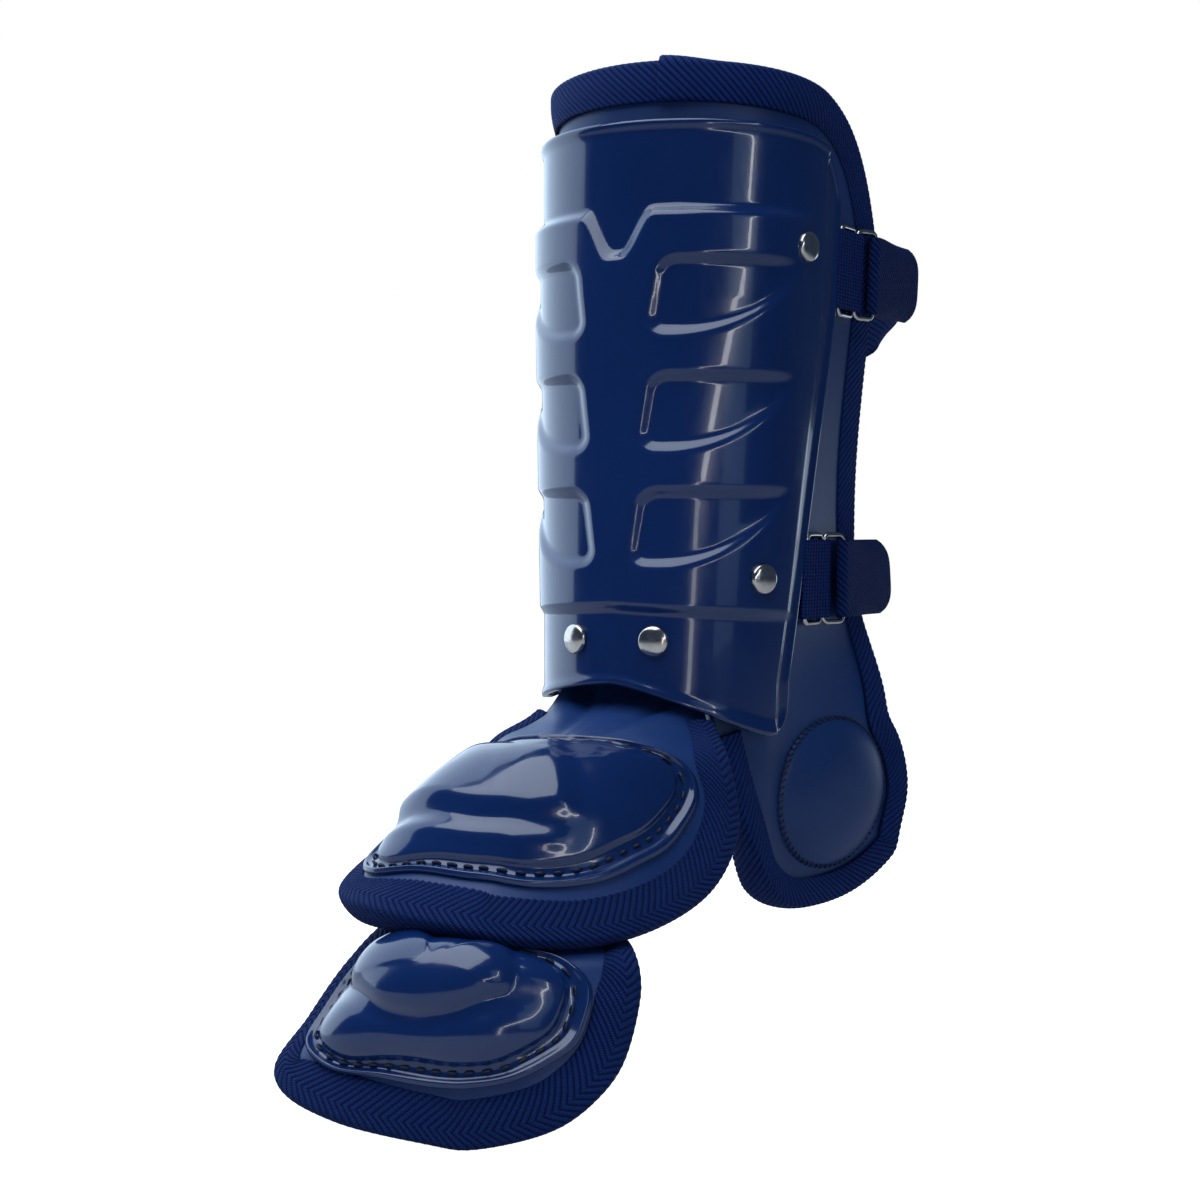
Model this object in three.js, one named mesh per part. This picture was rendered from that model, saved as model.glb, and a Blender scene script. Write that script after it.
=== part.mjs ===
// Batter leg guard in its worn form, millimetres, +Z up, toe towards -Y, ankle wing on +X.
// Heights in this file count up from the lowest edge; the finished part is moved so that the
// leg mount, on the leg's axis, is the origin.
import * as THREE from 'three';

// Shin wrap: a U section, half circle in front and straight sides behind.
const mountHeight = 200;
const ankleLevel = 138;
const calfLevel = 393;
const ankleRadius = 47.5;
const calfRadius = 57.5;
const ankleFront = 65.5;
const calfFront = 56.5;
const gap = 0.35;

// Shin pad.
const padThickness = 8;
const padTop = 387;
const padBottom = 160;
const padHalfWidth = 145;
const padWaist = 11;
const padWaistHeight = 228;
const padTopRound = 48;
const padArch = 26;
const padFarDrop = 6;

// Ankle wing, below the pad on one side.
const wingBottom = 52.5;
const wingCornerRise = 16;
const wingLowest = 0.4;
const wingFrontLean = 28;
const wingFront = 37;
const wingBack = 161;
const wingFlare = 0.26;
const wingFlareTop = 190;
const wingFlareFade = 65;

// Binding tape.
const tapeWall = 1.4;
const tapeGap = 0.8;
const tapePuff = 0.8;
const tapeBand = 14;
const tapeBandLow = 10;
const tapeLower = 112;

// Shin shell.
const shellWall = 2;
const shellStandoff = 2.3;
const shellTop = 365;
const shellBottom = 146;
const shellHalfTop = 103;
const shellHalfLow = 60;
const shellTaperTop = 300;
const shellArch = 21;
const shellArchFar = 10;
const shellTopFall = 7;
const flangeWidthTop = 16;
const flangeWidthLow = 8;
const bodyRise = 2;
const reliefRise = 3.6;
const windowDepth = 2.2;
const reliefTop = 330;
const reliefBottom = 176;
const windowHeight = 28;
const windowPitch = 45;
const firstWindow = 297;

// Rivets.
const rivetRadius = 6;
const rivetHeight = 2.4;
const frontRivetSide = 15.6;
const frontRivetHeight = 163;
const sideRivetSide = 54;
const sideRivetFarSide = 66;
const sideRivetHeight = 187;
const topRivetSide = 73;
const topRivetHeight = 318;

// Ankle cup.
const cupSide = 112.5;
const cupHeight = 97;
const cupHalfWidth = 35;
const cupHalfHeight = 31;
const cupDome = 8.5;
const cupRim = 1.2;

// Flaps are laid out from a middle point: across, forward down the slope, and up off the slope.
const flapThickness = 6;
const flapBand = 15;
const flapBandFar = 8;
const flapShellGap = 1.2;
const flapShellWall = 1.8;

// Instep flap.
const instepMiddle = 125;
const instepHeight = 118;
const instepSlope = 38;
const instepHalf = 60;
const instepForward = 72;
const instepDrop = 50;
const instepTuck = 8;
const instepTuckHalf = 20;
const instepTuckGap = 5.2;
const instepDome = 10;

// Toe flap.
const toeMiddle = 179;
const toeHeight = 48.5;
const toeSlope = 52;
const toeHalf = 58;
const toeForward = 48;
const toeDrop = 37;
const toeDome = 16;
const toeShellShare = 0.94;
const toeTuckHalf = 14;
const toeTuckGap = 2.6;
const toeTuckForward = 28;

// Straps, keepers and rings.
const webWidth = 32;
const webThickness = 1.3;
const wire = 2.2;
const ringHeight = 36;
const ringWidth = 10;
const ringRise = 4;
const upperStrapHeight = 313;
const lowerStrapHeight = 186;
// How far in from the pad's edge each keeper comes out from under the shell.
const upperKeeperIn = 45.1;
const lowerKeeperIn = 56.7;
const keeperLength = 28;
const upperLoopBack = 104;
const lowerLoopBack = 68;
const loopCorner = 24;
const tailLength = 44;

const colours = {
  pad: ['#20396f', 0.5, 0], tape: ['#14275a', 0.9, 0], shell: ['#14275c', 0.12, 0],
  metal: ['#cfc8bf', 0.2, 1], web: ['#11234f', 0.85, 0],
};

const clamp = (x) => Math.min(1, Math.max(0, x));
const smooth = (x) => clamp(x) ** 2 * (3 - 2 * clamp(x));
const mix = (a, b, k) => a + (b - a) * k;
const steps = (n) => Array.from({ length: n + 1 }, (_, i) => i / n);

function sectionAt(z) {
  const k = (z - ankleLevel) / (calfLevel - ankleLevel);
  const radius = mix(ankleRadius, calfRadius, k);
  return { radius, centre: radius - mix(ankleFront, calfFront, k) };
}

// A point of the shin wrap: s along the section from the middle of the front, z up, t outwards.
function shin(s, z, t) {
  const { radius, centre } = sectionAt(z);
  const quarter = radius * Math.PI / 2;
  if (Math.abs(s) <= quarter) {
    const angle = s / radius;
    return [(radius + t) * Math.sin(angle), centre - (radius + t) * Math.cos(angle), z];
  }
  const side = Math.sign(s);
  const past = Math.abs(s) - quarter;
  const fade = side > 0 ? smooth((wingFlareTop - z) / wingFlareFade) : 0;
  const flare = wingFlare * (Math.hypot(past, 15) - 15) * fade;
  return [side * (radius + t + flare), centre + past, z];
}

// One closed body from a list of points and of triangles.
function solid(name, colour, points, faces) {
  const geometry = new THREE.BufferGeometry();
  const moved = points.flatMap(([x, y, z]) => [x, y, z - mountHeight]);
  geometry.setAttribute('position', new THREE.Float32BufferAttribute(moved, 3));
  geometry.setIndex(faces.flat());
  const [hex, roughness, metalness] = colours[colour];
  const material = new THREE.MeshStandardMaterial({ color: hex, roughness, metalness });
  const mesh = new THREE.Mesh(geometry, material);
  mesh.name = name;
  return mesh;
}

// Sign of the volume, so that every body can be turned to face out.
function volume(points, faces) {
  let sum = 0;
  for (const [a, b, c] of faces) {
    const [p, q, r] = [points[a], points[b], points[c]];
    sum += p[0] * (q[1] * r[2] - q[2] * r[1]) - p[1] * (q[0] * r[2] - q[2] * r[0])
      + p[2] * (q[0] * r[1] - q[1] * r[0]);
  }
  return sum;
}

function outward(name, colour, points, faces) {
  const turned = volume(points, faces) < 0 ? faces.map(([a, b, c]) => [a, c, b]) : faces;
  return solid(name, colour, points, turned);
}

// A wall between an upper and a lower sheet that share one set of cells.
function wall(name, colour, top, under, cells) {
  const count = top.length;
  const faces = [];
  const edges = new Map();
  for (const cell of cells) {
    const triangles = cell.length === 4
      ? [[cell[0], cell[1], cell[2]], [cell[0], cell[2], cell[3]]] : [cell];
    for (const [a, b, c] of triangles) {
      faces.push([a, b, c], [a + count, c + count, b + count]);
      for (const [p, q] of [[a, b], [b, c], [c, a]]) {
        if (edges.has(`${q},${p}`)) edges.delete(`${q},${p}`);
        else edges.set(`${p},${q}`, [p, q]);
      }
    }
  }
  for (const [p, q] of edges.values()) faces.push([p, p + count, q], [q, p + count, q + count]);
  return outward(name, colour, [...top, ...under], faces);
}

// A body swept along rows of one closed profile; the rows close on themselves or end in caps.
function sweep(name, colour, rows, closed) {
  const size = rows[0].length;
  const points = rows.flat();
  const faces = [];
  const last = closed ? rows.length : rows.length - 1;
  for (let i = 0; i < last; i += 1) {
    const a = i * size;
    const b = ((i + 1) % rows.length) * size;
    for (let j = 0; j < size; j += 1) {
      const k = (j + 1) % size;
      faces.push([a + j, a + k, b + k], [a + j, b + k, b + j]);
    }
  }
  if (!closed) {
    const end = (rows.length - 1) * size;
    for (const [p, q, r] of tapeCaps) faces.push([r, q, p], [p + end, q + end, r + end]);
  }
  return outward(name, colour, points, faces);
}

// How the corners of the tape's section join up where it ends.
const tapeCaps = [[0, 1, 2], [0, 2, 3], [0, 3, 10], [3, 4, 10], [4, 5, 10], [5, 9, 10],
  [5, 6, 9], [6, 8, 9], [6, 7, 8]];

// The tape's section: d in from the edge, t out from the pad's face.
function tapeProfile(thickness, band) {
  const out = tapeGap + tapeWall;
  return [
    [band, tapeGap], [band, out], [band * 0.55, out + tapePuff], [band * 0.12, out + tapePuff * 0.6],
    [-out, -thickness * 0.15], [-out, -thickness * 0.85],
    [band * 0.12, -thickness - out - tapePuff * 0.6], [band, -thickness - out],
    [band, -thickness - tapeGap], [-gap, -thickness - tapeGap], [-gap, tapeGap],
  ];
}

// Shin pad: a main grid of columns and rows, and below it the ankle wing on the same columns.
const padColumns = 30;
const padRows = 8;
const wingRows = 7;
const padTopLine = (u) => padTop - padTopRound * Math.abs(u) ** 7 - 12 * u * u;
const padLowLine = (u) => padBottom - padFarDrop * smooth((-u - 0.25) / 0.4)
  - padArch * clamp((Math.abs(u) - 0.13) / 0.24) * (u > 0 ? 1 : 0.6);
const padEdge = (z) => padHalfWidth - padWaist * smooth(1 - Math.abs(z - padWaistHeight) / 105);
// How far round the pad reaches at a height, its rounded top corners included.
const padReach = (z) => {
  let share = 0;
  for (let step = 0.5; step > 0.001; step /= 2) if (padTopLine(share + step) > z) share += step;
  return share * padEdge(z);
};
const padSplit = (() => {
  const share = (wingFront / padHalfWidth + 1) / 2;
  return Math.round(share * padColumns);
})();
const wingFrontLine = (v) => wingFront + wingFrontLean * v ** 1.7;
const wingBackLine = (v) => padEdge(padBottom) + (wingBack - padEdge(padBottom))
  * Math.sin(clamp(v / 0.62) * Math.PI / 2) - 6 * smooth((v - 0.6) / 0.4);
const wingLowLine = (u) => {
  const share = u < wingLowest ? 1 - u / wingLowest : (u - wingLowest) / (1 - wingLowest);
  return wingBottom + wingCornerRise * share ** 2.4;
};

function padNode(column, row) {
  const u = column / padColumns * 2 - 1;
  const v = row / padRows;
  const top = padTopLine(u);
  const low = padLowLine(u);
  const z = mix(low, top, v);
  return [u * padEdge(z), z];
}

function wingNode(column, row) {
  const share = (column - padSplit) / (padColumns - padSplit);
  const v = row / wingRows;
  const [topSide, topZ] = padNode(column, 0);
  const s = mix(wingFrontLine(v), wingBackLine(v), share);
  const z = mix(topZ, wingLowLine(share), v);
  return [mix(topSide, s, smooth(v * 4)), z];
}

const padPlan = [];
const padCells = [];
const padIndex = new Map();
function padPoint(key, place) {
  if (!padIndex.has(key)) {
    padIndex.set(key, padPlan.length);
    padPlan.push(place);
  }
  return padIndex.get(key);
}
for (let row = 0; row < padRows; row += 1) {
  for (let column = 0; column < padColumns; column += 1) {
    const at = (i, j) => padPoint(`${i},${j}`, padNode(i, j));
    padCells.push([at(column, row), at(column + 1, row), at(column + 1, row + 1), at(column, row + 1)]);
  }
}
for (let row = 0; row < wingRows; row += 1) {
  for (let column = padSplit; column < padColumns; column += 1) {
    const at = (i, j) => padPoint(`${i},${-j}`, wingNode(i, j));
    padCells.push([at(column, row + 1), at(column + 1, row + 1), at(column + 1, row), at(column, row)]);
  }
}

// The pad's outline from the wing's front edge, round the wing, the back, the top and the far side.
function padOutline() {
  const line = [];
  for (let j = 0; j <= wingRows; j += 1) line.push(wingNode(padSplit, j));
  for (let i = padSplit + 1; i <= padColumns; i += 1) line.push(wingNode(i, wingRows));
  for (let j = wingRows - 1; j >= 0; j -= 1) line.push(wingNode(padColumns, j));
  for (let j = 1; j <= padRows; j += 1) line.push(padNode(padColumns, j));
  for (let i = padColumns - 1; i >= 0; i -= 1) line.push(padNode(i, padRows));
  for (let j = padRows - 1; j >= 0; j -= 1) line.push(padNode(0, j));
  for (let i = 1; i <= padColumns * 0.2; i += 1) line.push(padNode(i, 0));
  return line;
}

const group = new THREE.Group();
group.name = 'batter_leg_guard';
const add = (mesh) => group.add(mesh);

add(wall('shin_pad', 'pad', padPlan.map(([s, z]) => shin(s, z, 0)),
  padPlan.map(([s, z]) => shin(s, z, -padThickness)), padCells));

// Shin binding: a channel of tape round the outline, open in front where the instep flap is sewn in.
function inwardNormals(line, closed) {
  return line.map((_, k) => {
    const a = line[closed ? (k + line.length - 1) % line.length : Math.max(0, k - 1)];
    const b = line[closed ? (k + 1) % line.length : Math.min(line.length - 1, k + 1)];
    const length = Math.hypot(b[0] - a[0], b[1] - a[1]);
    return [(a[1] - b[1]) / length, (b[0] - a[0]) / length];
  });
}

const edgeLine = padOutline().filter(([s, z], k) => k > wingRows || z < tapeLower);
const edgeNormals = inwardNormals(edgeLine, false);
const padTape = (z) => tapeProfile(padThickness,
  mix(tapeBandLow, tapeBand, smooth((z - wingBack * 0.85) / 110)));
add(sweep('shin_binding', 'tape', edgeLine.map(([s, z], k) => padTape(z).map(([d, t]) => shin(
  s + edgeNormals[k][0] * d, z + edgeNormals[k][1] * d, t))), false));

// Shin shell: its outline, its raised field with the notch, and three windows a side.
const shellColumns = 24;
const shellHalf = (z) => {
  const taper = clamp((shellTaperTop - z) / (shellTaperTop - shellBottom));
  return mix(shellHalfTop, shellHalfLow + 13, taper) - 13 * smooth((shellBottom - z + 4) / 22);
};
const shellTopLine = (u) => shellTop - shellTopFall * Math.abs(u) ** 3 - 24 * Math.abs(u) ** 14;
const shellLowLine = (u) => shellBottom - (u > 0 ? shellArch : shellArchFar) * smooth(Math.abs(u) * 1.02) ** 0.8;
const creaseSide = (z) => shellHalf(Math.max(z, shellBottom - 10))
  - mix(flangeWidthLow, flangeWidthTop, clamp((z - shellBottom) / (shellTop - shellBottom)));

function windowShare(side, z) {
  let share = 0;
  for (let i = 0; i < 3; i += 1) {
    const middle = firstWindow - i * windowPitch;
    const inner = 9 + (middle - reliefBottom - 30) * 0.05 + (z - middle) * 0.13;
    const down = smooth((windowHeight / 2 + 1 - Math.abs(z - middle)) / 3 + 0.5);
    const across = smooth((side - inner) / 4 + 0.5);
    share = Math.max(share, down * across);
  }
  return share * (1 - smooth((side - 46) / 30));
}

function shellOffset(s, z) {
  const side = Math.abs(s);
  const body = smooth((creaseSide(z) - side) / 5 + 0.5);
  const notch = Math.max(0, 18 * (1 - Math.max(0, side - 3) / 10));
  const top = smooth((reliefTop - Math.min(18, notch) - z) / 5 + 0.5);
  const foot = smooth((z - reliefBottom + side * 0.06) / 6 + 0.5);
  const fade = 1 - smooth((side - 52) / 28);
  const height = reliefRise * mix(0.5, 1, clamp((z - reliefBottom) / 120));
  return shellStandoff + bodyRise * body
    + top * foot * fade * (height - windowDepth * windowShare(side, z));
}

const shellLevels = (() => {
  const levels = [0, 0.05, 0.11];
  for (let i = 2; i >= 0; i -= 1) {
    const middle = firstWindow - i * windowPitch;
    for (const d of [-19, -14, -10, 10, 14, 19]) {
      levels.push((middle + d - shellBottom) / (shellTop - shellBottom));
    }
  }
  return [...levels, 0.845, 0.9, 0.95, 1];
})();

const shellPlan = [];
const shellCells = [];
shellLevels.forEach((v, j) => {
  for (let i = 0; i <= shellColumns; i += 1) {
    const u = i / shellColumns * 2 - 1;
    const z = mix(shellLowLine(u), shellTopLine(u), v);
    shellPlan.push([u * shellHalf(z), z]);
    const a = j * (shellColumns + 1) + i;
    if (i && j) shellCells.push([a - shellColumns - 2, a - shellColumns - 1, a, a - 1]);
  }
});
add(wall('shin_shell', 'shell',
  shellPlan.map(([s, z]) => shin(s, z, shellOffset(s, z) + shellWall)),
  shellPlan.map(([s, z]) => shin(s, z, shellOffset(s, z))), shellCells));

// Domes and flaps are rings about a middle point.
function rings(count, around) {
  const cells = [];
  for (let i = 0; i < around; i += 1) {
    const k = (i + 1) % around;
    cells.push([0, 1 + i, 1 + k]);
    for (let r = 0; r < count - 1; r += 1) {
      const a = 1 + r * around;
      const b = a + around;
      cells.push([a + i, b + i, b + k, a + k]);
    }
  }
  return cells;
}

// Rivets: a domed cap on a flat ring face, square to the shell.
function rivet(name, s, z) {
  const around = 12;
  const lift = shellOffset(s, z) + shellWall;
  const foot = new THREE.Vector3(...shin(s, z, lift + gap + 0.35));
  const tip = new THREE.Vector3(...shin(s, z, lift + 12));
  const normal = tip.sub(foot).normalize();
  const across = new THREE.Vector3(0, 0, 1).cross(normal).normalize();
  const up = normal.clone().cross(across);
  const at = (radius, k, height) => {
    const angle = k / around * Math.PI * 2;
    return foot.clone().addScaledVector(across, radius * Math.cos(angle))
      .addScaledVector(up, radius * Math.sin(angle)).addScaledVector(normal, height).toArray();
  };
  const top = [at(0, 0, rivetHeight)];
  const under = [at(0, 0, 0)];
  for (const [share, rise] of [[0.7, 0.75], [1, 0.2]]) {
    for (let k = 0; k < around; k += 1) {
      top.push(at(rivetRadius * share, k, rivetHeight * rise));
      under.push(at(rivetRadius * share, k, 0));
    }
  }
  add(wall(name, 'metal', top, under, rings(2, around)));
}
for (const [name, side, height] of [['front', frontRivetSide, frontRivetHeight],
  ['side', sideRivetSide, sideRivetHeight], ['top', topRivetSide, topRivetHeight]]) {
  rivet(`rivet_${name}_left`, side, height);
  rivet(`rivet_${name}_right`, name === 'side' ? -sideRivetFarSide : -side, height);
}

// Ankle cup: a soft dome on the wing.
const cupAround = 24;
const cupPlan = [[0, 0, 0]];
for (const share of [0.55, 0.85, 1]) {
  for (let k = 0; k < cupAround; k += 1) {
    const angle = k / cupAround * Math.PI * 2;
    cupPlan.push([cupHalfWidth * share * Math.cos(angle), cupHalfHeight * share * Math.sin(angle), share]);
  }
}
const cupLift = (share) => gap + cupRim + (cupDome - cupRim) * (1 - share ** 3) ** 0.8;
add(wall('ankle_cup', 'pad',
  cupPlan.map(([a, b, share]) => shin(cupSide + a, cupHeight + b, cupLift(share))),
  cupPlan.map(([a, b]) => shin(cupSide + a, cupHeight + b, gap)), rings(3, cupAround)));


// A smooth closed line through chosen points, and a smooth line through values in order.
function spline(a, b, c, d, k) {
  return 0.5 * (2 * b + (c - a) * k + (2 * a - 5 * b + 4 * c - d) * k * k
    + (3 * b - a - 3 * c + d) * k ** 3);
}

function closedLine(points, count) {
  return Array.from({ length: count }, (_, i) => {
    const place = i / count * points.length;
    const j = Math.floor(place);
    const [a, b, c, d] = [-1, 0, 1, 2].map((n) => points[(j + n + points.length) % points.length]);
    return a.map((_, axis) => spline(a[axis], b[axis], c[axis], d[axis], place - j));
  });
}

function profileAt(table, place) {
  let j = 0;
  while (j < table.length - 2 && place > table[j + 1][0]) j += 1;
  const [p, q] = [table[j], table[j + 1]];
  const before = table[Math.max(0, j - 1)];
  const after = table[Math.min(table.length - 1, j + 2)];
  const slopeP = (q[1] - before[1]) / (q[0] - before[0]);
  const slopeQ = (after[1] - p[1]) / (after[0] - p[0]);
  const width = q[0] - p[0];
  const k = Math.max(-0.5, (place - p[0]) / width);
  return p[1] * (1 + 2 * k) * (1 - k) ** 2 + slopeP * width * k * (1 - k) ** 2
    + q[1] * k * k * (3 - 2 * k) + slopeQ * width * k * k * (k - 1);
}

// A flap: its frame, its outline and the rise of its middle line give a surface over across, forward.
function makeFlap({ middle, height, slope, outline, profile, around }) {
  const tilt = slope * Math.PI / 180;
  const forward = new THREE.Vector3(0, -Math.cos(tilt), -Math.sin(tilt));
  const up = new THREE.Vector3(0, -Math.sin(tilt), Math.cos(tilt));
  const origin = new THREE.Vector3(0, -middle, height);
  const local = ([x, y, z]) => {
    const v = new THREE.Vector3(x, y, z).sub(origin);
    return [v.x, v.dot(forward), v.dot(up)];
  };
  const line = closedLine(outline(local), around);
  const fine = closedLine(outline(local), around * 4)
    .map(([w, f, n]) => ({ angle: Math.atan2(w, f), reach: Math.hypot(w, f), f, n }))
    .sort((a, b) => a.angle - b.angle);
  const edgeAt = (angle) => {
    let j = fine.findIndex((e) => e.angle > angle);
    if (j < 0) j = 0;
    const b = fine[j];
    const a = fine[(j + fine.length - 1) % fine.length];
    const span = (b.angle - a.angle + Math.PI * 2) % (Math.PI * 2) || 1;
    const k = ((angle - a.angle + Math.PI * 2) % (Math.PI * 2)) / span;
    return { reach: mix(a.reach, b.reach, k), f: mix(a.f, b.f, k), n: mix(a.n, b.n, k) };
  };
  const rise = (w, f) => {
    const edge = edgeAt(Math.atan2(w, f));
    const share = Math.hypot(w, f) / edge.reach;
    return profileAt(profile, f) + (edge.n - profileAt(profile, edge.f)) * share ** 2;
  };
  const base = (w, f) => origin.clone().addScaledVector(forward, f)
    .addScaledVector(up, rise(w, f)).setX(w);
  const normal = (w, f) => {
    const e = 1.5;
    const along = base(w, f + e).sub(base(w, f - e));
    const across = base(w + e, f).sub(base(w - e, f));
    return across.cross(along).normalize().negate();
  };
  const point = (w, f, t) => base(w, f).addScaledVector(normal(w, f), t).toArray();
  // A point d in from the edge, measured along the surface, and t off it.
  const fromEdge = (k, d, t) => {
    const [w, f] = line[k];
    const [pw, pf] = line[(k + around - 1) % around];
    const [nw, nf] = line[(k + 1) % around];
    const length = Math.hypot(nw - pw, nf - pf);
    let inward = [-(nf - pf) / length, (nw - pw) / length];
    if (inward[0] * w + inward[1] * f > 0) inward = inward.map((v) => -v);
    const place = (run) => [w + inward[0] * run, f + inward[1] * run];
    const start = base(w, f);
    if (d <= 0) {
      const tangent = base(...place(2)).sub(start).normalize();
      return start.addScaledVector(tangent, d).addScaledVector(normal(...place(1)), t).toArray();
    }
    let run = d;
    for (let i = 0; i < 4; i += 1) run *= d / base(...place(run)).distanceTo(start);
    return point(...place(run), t);
  };
  return { point, fromEdge, line, around };
}

// Instep flap: tucked up behind the shin pad, down over the instep, further down on the near side.
const instepTable = [
  { across: 0, forward: 1, rise: -0.14 },
  { across: 0.25, forward: 0.95, rise: -0.28 },
  { across: 0.6, forward: 0.74, rise: -0.57 },
  { across: 0.84, forward: 0.42, rise: -0.83 },
  { across: 0.95, forward: 0.05, rise: -1 },
  { across: 0.96, forward: -0.3, rise: -0.92 },
  { across: 0.84, forward: -0.56, rise: -0.64 },
  { across: 0.5, forward: -0.89, rise: -0.65 },
  { tuck: 1 }, { tuck: 0 }, { tuck: -1 },
  { across: -0.5, forward: -0.89, rise: -0.65 },
  { across: -0.82, forward: -0.56, rise: -0.6 },
  { across: -0.97, forward: -0.25, rise: -0.72 },
  { across: -1.05, forward: 0.15, rise: -0.62 },
  { across: -1.06, forward: 0.55, rise: -0.38 },
  { across: -0.9, forward: 0.88, rise: -0.16 },
  { across: -0.5, forward: 1.01, rise: -0.05 },
];
const instepProfile = [[-1.2, -0.09], [-1.06, -0.34], [-0.88, -0.43], [-0.68, -0.36],
  [-0.43, -0.19], [-0.17, -0.04], [0.26, 0.01], [0.75, -0.07], [1, -0.14]];
const instep = makeFlap({
  middle: instepMiddle, height: instepHeight, slope: instepSlope, around: 40,
  outline: (local) => instepTable.map(({ across, forward, rise, tuck }) => (tuck === undefined
    ? [across * instepHalf, forward * instepForward, rise * instepDrop]
    : local(shin(tuck * instepTuckHalf, padBottom + instepTuck, -padThickness - instepTuckGap)))),
  profile: instepProfile.map(([f, n]) => [f * instepForward, n * instepDrop]),
});

// Toe flap: hung from under the instep flap, with its edge low in front.
const toeTable = [
  { across: 0, forward: 1, rise: -0.54 },
  { across: 0.25, forward: 0.95, rise: -0.64 },
  { across: 0.62, forward: 0.72, rise: -0.76 },
  { across: 0.8, forward: 0.45, rise: -0.85 },
  { across: 0.88, forward: 0.1, rise: -0.93 },
  { across: 0.9, forward: -0.35, rise: -0.8 },
  { across: 0.83, forward: -0.6, rise: -0.72 },
  { across: 0.58, forward: -0.86, rise: -0.92 },
  { tuck: 1 }, { tuck: 0 }, { tuck: -1 },
  { across: -0.58, forward: -0.86, rise: -0.92 },
  { across: -0.88, forward: -0.62, rise: -0.62 },
  { across: -1.02, forward: -0.2, rise: -0.5 },
  { across: -1.1, forward: 0.32, rise: -0.42 },
  { across: -1.06, forward: 0.84, rise: -0.2 },
  { across: -0.6, forward: 1.02, rise: -0.28 },
];
const toeProfile = [[-1.2, -0.04], [-0.8, -0.1], [-0.46, -0.07], [0, 0], [0.42, -0.1], [1, -0.52]];
const toe = makeFlap({
  middle: toeMiddle, height: toeHeight, slope: toeSlope, around: 40,
  outline: (local) => toeTable.map(({ across, forward, rise, tuck }) => (tuck === undefined
    ? [across * toeHalf, forward * toeForward, rise * toeDrop]
    : local(instep.point(tuck * toeTuckHalf, toeTuckForward, -flapThickness - toeTuckGap)))),
  profile: toeProfile.map(([f, n]) => [f * toeForward, n * toeDrop]),
});

function flapPad(name, flap) {
  const shares = [0.4, 0.68, 0.85, 1];
  const plan = [[0, 0], ...shares.flatMap((r) => flap.line.map(([w, f]) => [w * r, f * r]))];
  add(wall(name, 'pad', plan.map(([w, f]) => flap.point(w, f, 0)),
    plan.map(([w, f]) => flap.point(w, f, -flapThickness)), rings(shares.length, flap.around)));
}

function flapTape(name, flap, from, to) {
  const rows = [];
  for (let k = from; k <= to; k += 1) {
    const band = mix(flapBand, flapBandFar, smooth((-1 - k) / 5));
    const profile = tapeProfile(flapThickness, band * (1 - 0.35 * smooth((k - 12) / 3)));
    rows.push(profile.map(([d, t]) => flap.fromEdge((k + flap.around) % flap.around, d, t)));
  }
  add(sweep(name, 'tape', rows, false));
}

flapPad('instep_pad', instep);
flapPad('toe_pad', toe);
flapTape('instep_binding', instep, -14, 14);
flapTape('toe_binding', toe, -12, 14);


// Flap shells: a flat stitched rim, a step, and a dome. Shares of the flap's half width and length.
const instepShellTable = [[0, 0.75], [0.3, 0.67], [0.56, 0.48], [0.72, 0.18], [0.78, -0.1], [0.78, -0.3],
  [0.68, -0.38], [0.45, -0.33], [0.2, -0.28], [-0.05, -0.25], [-0.35, -0.24], [-0.64, -0.2],
  [-0.82, 0.04], [-0.9, 0.36], [-0.9, 0.64], [-0.72, 0.78], [-0.34, 0.77]];
const toeShellTable = [[0, 0.73], [0.25, 0.67], [0.52, 0.52], [0.7, 0.26], [0.76, -0.02], [0.74, -0.3],
  [0.54, -0.37], [0.2, -0.26], [-0.2, -0.22], [-0.55, -0.3], [-0.82, -0.26], [-0.97, 0.02],
  [-1.02, 0.36], [-0.97, 0.64], [-0.72, 0.78], [-0.36, 0.76]];
const shellRings = [
  { share: 0.001, rise: 1 }, { share: 0.22, rise: 0.98 }, { share: 0.45, rise: 0.9 },
  { share: 0.64, rise: 0.74 }, { share: 0.78, rise: 0.52 }, { share: 0.86, rise: 0.28 },
  { share: 0.9, rise: 0 }, { share: 1, rise: 0 },
];
function flapShell(name, flap, table, half, length, centre, dome) {
  const around = 30;
  const line = closedLine(table, around).map(([w, f]) => [w * half, f * length]);
  const [cw, cf] = [centre[0] * half, centre[1] * length];
  const plan = [[cw, cf, 1]];
  for (const { share, rise } of shellRings.slice(1)) {
    for (const [w, f] of line) plan.push([mix(cw, w, share), mix(cf, f, share), rise]);
  }
  add(wall(name, 'shell',
    plan.map(([w, f, rise]) => flap.point(w, f, flapShellGap + flapShellWall + dome * rise)),
    plan.map(([w, f, rise]) => flap.point(w, f, flapShellGap + dome * rise)),
    rings(shellRings.length - 1, around)));
}
flapShell('instep_shell', instep, instepShellTable, instepHalf, instepForward, [-0.08, 0.24], instepDome);
flapShell('toe_shell', toe, toeShellTable, toeHalf * toeShellShare, toeForward * toeShellShare,
  [-0.12, 0.12], toeDome);

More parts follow.
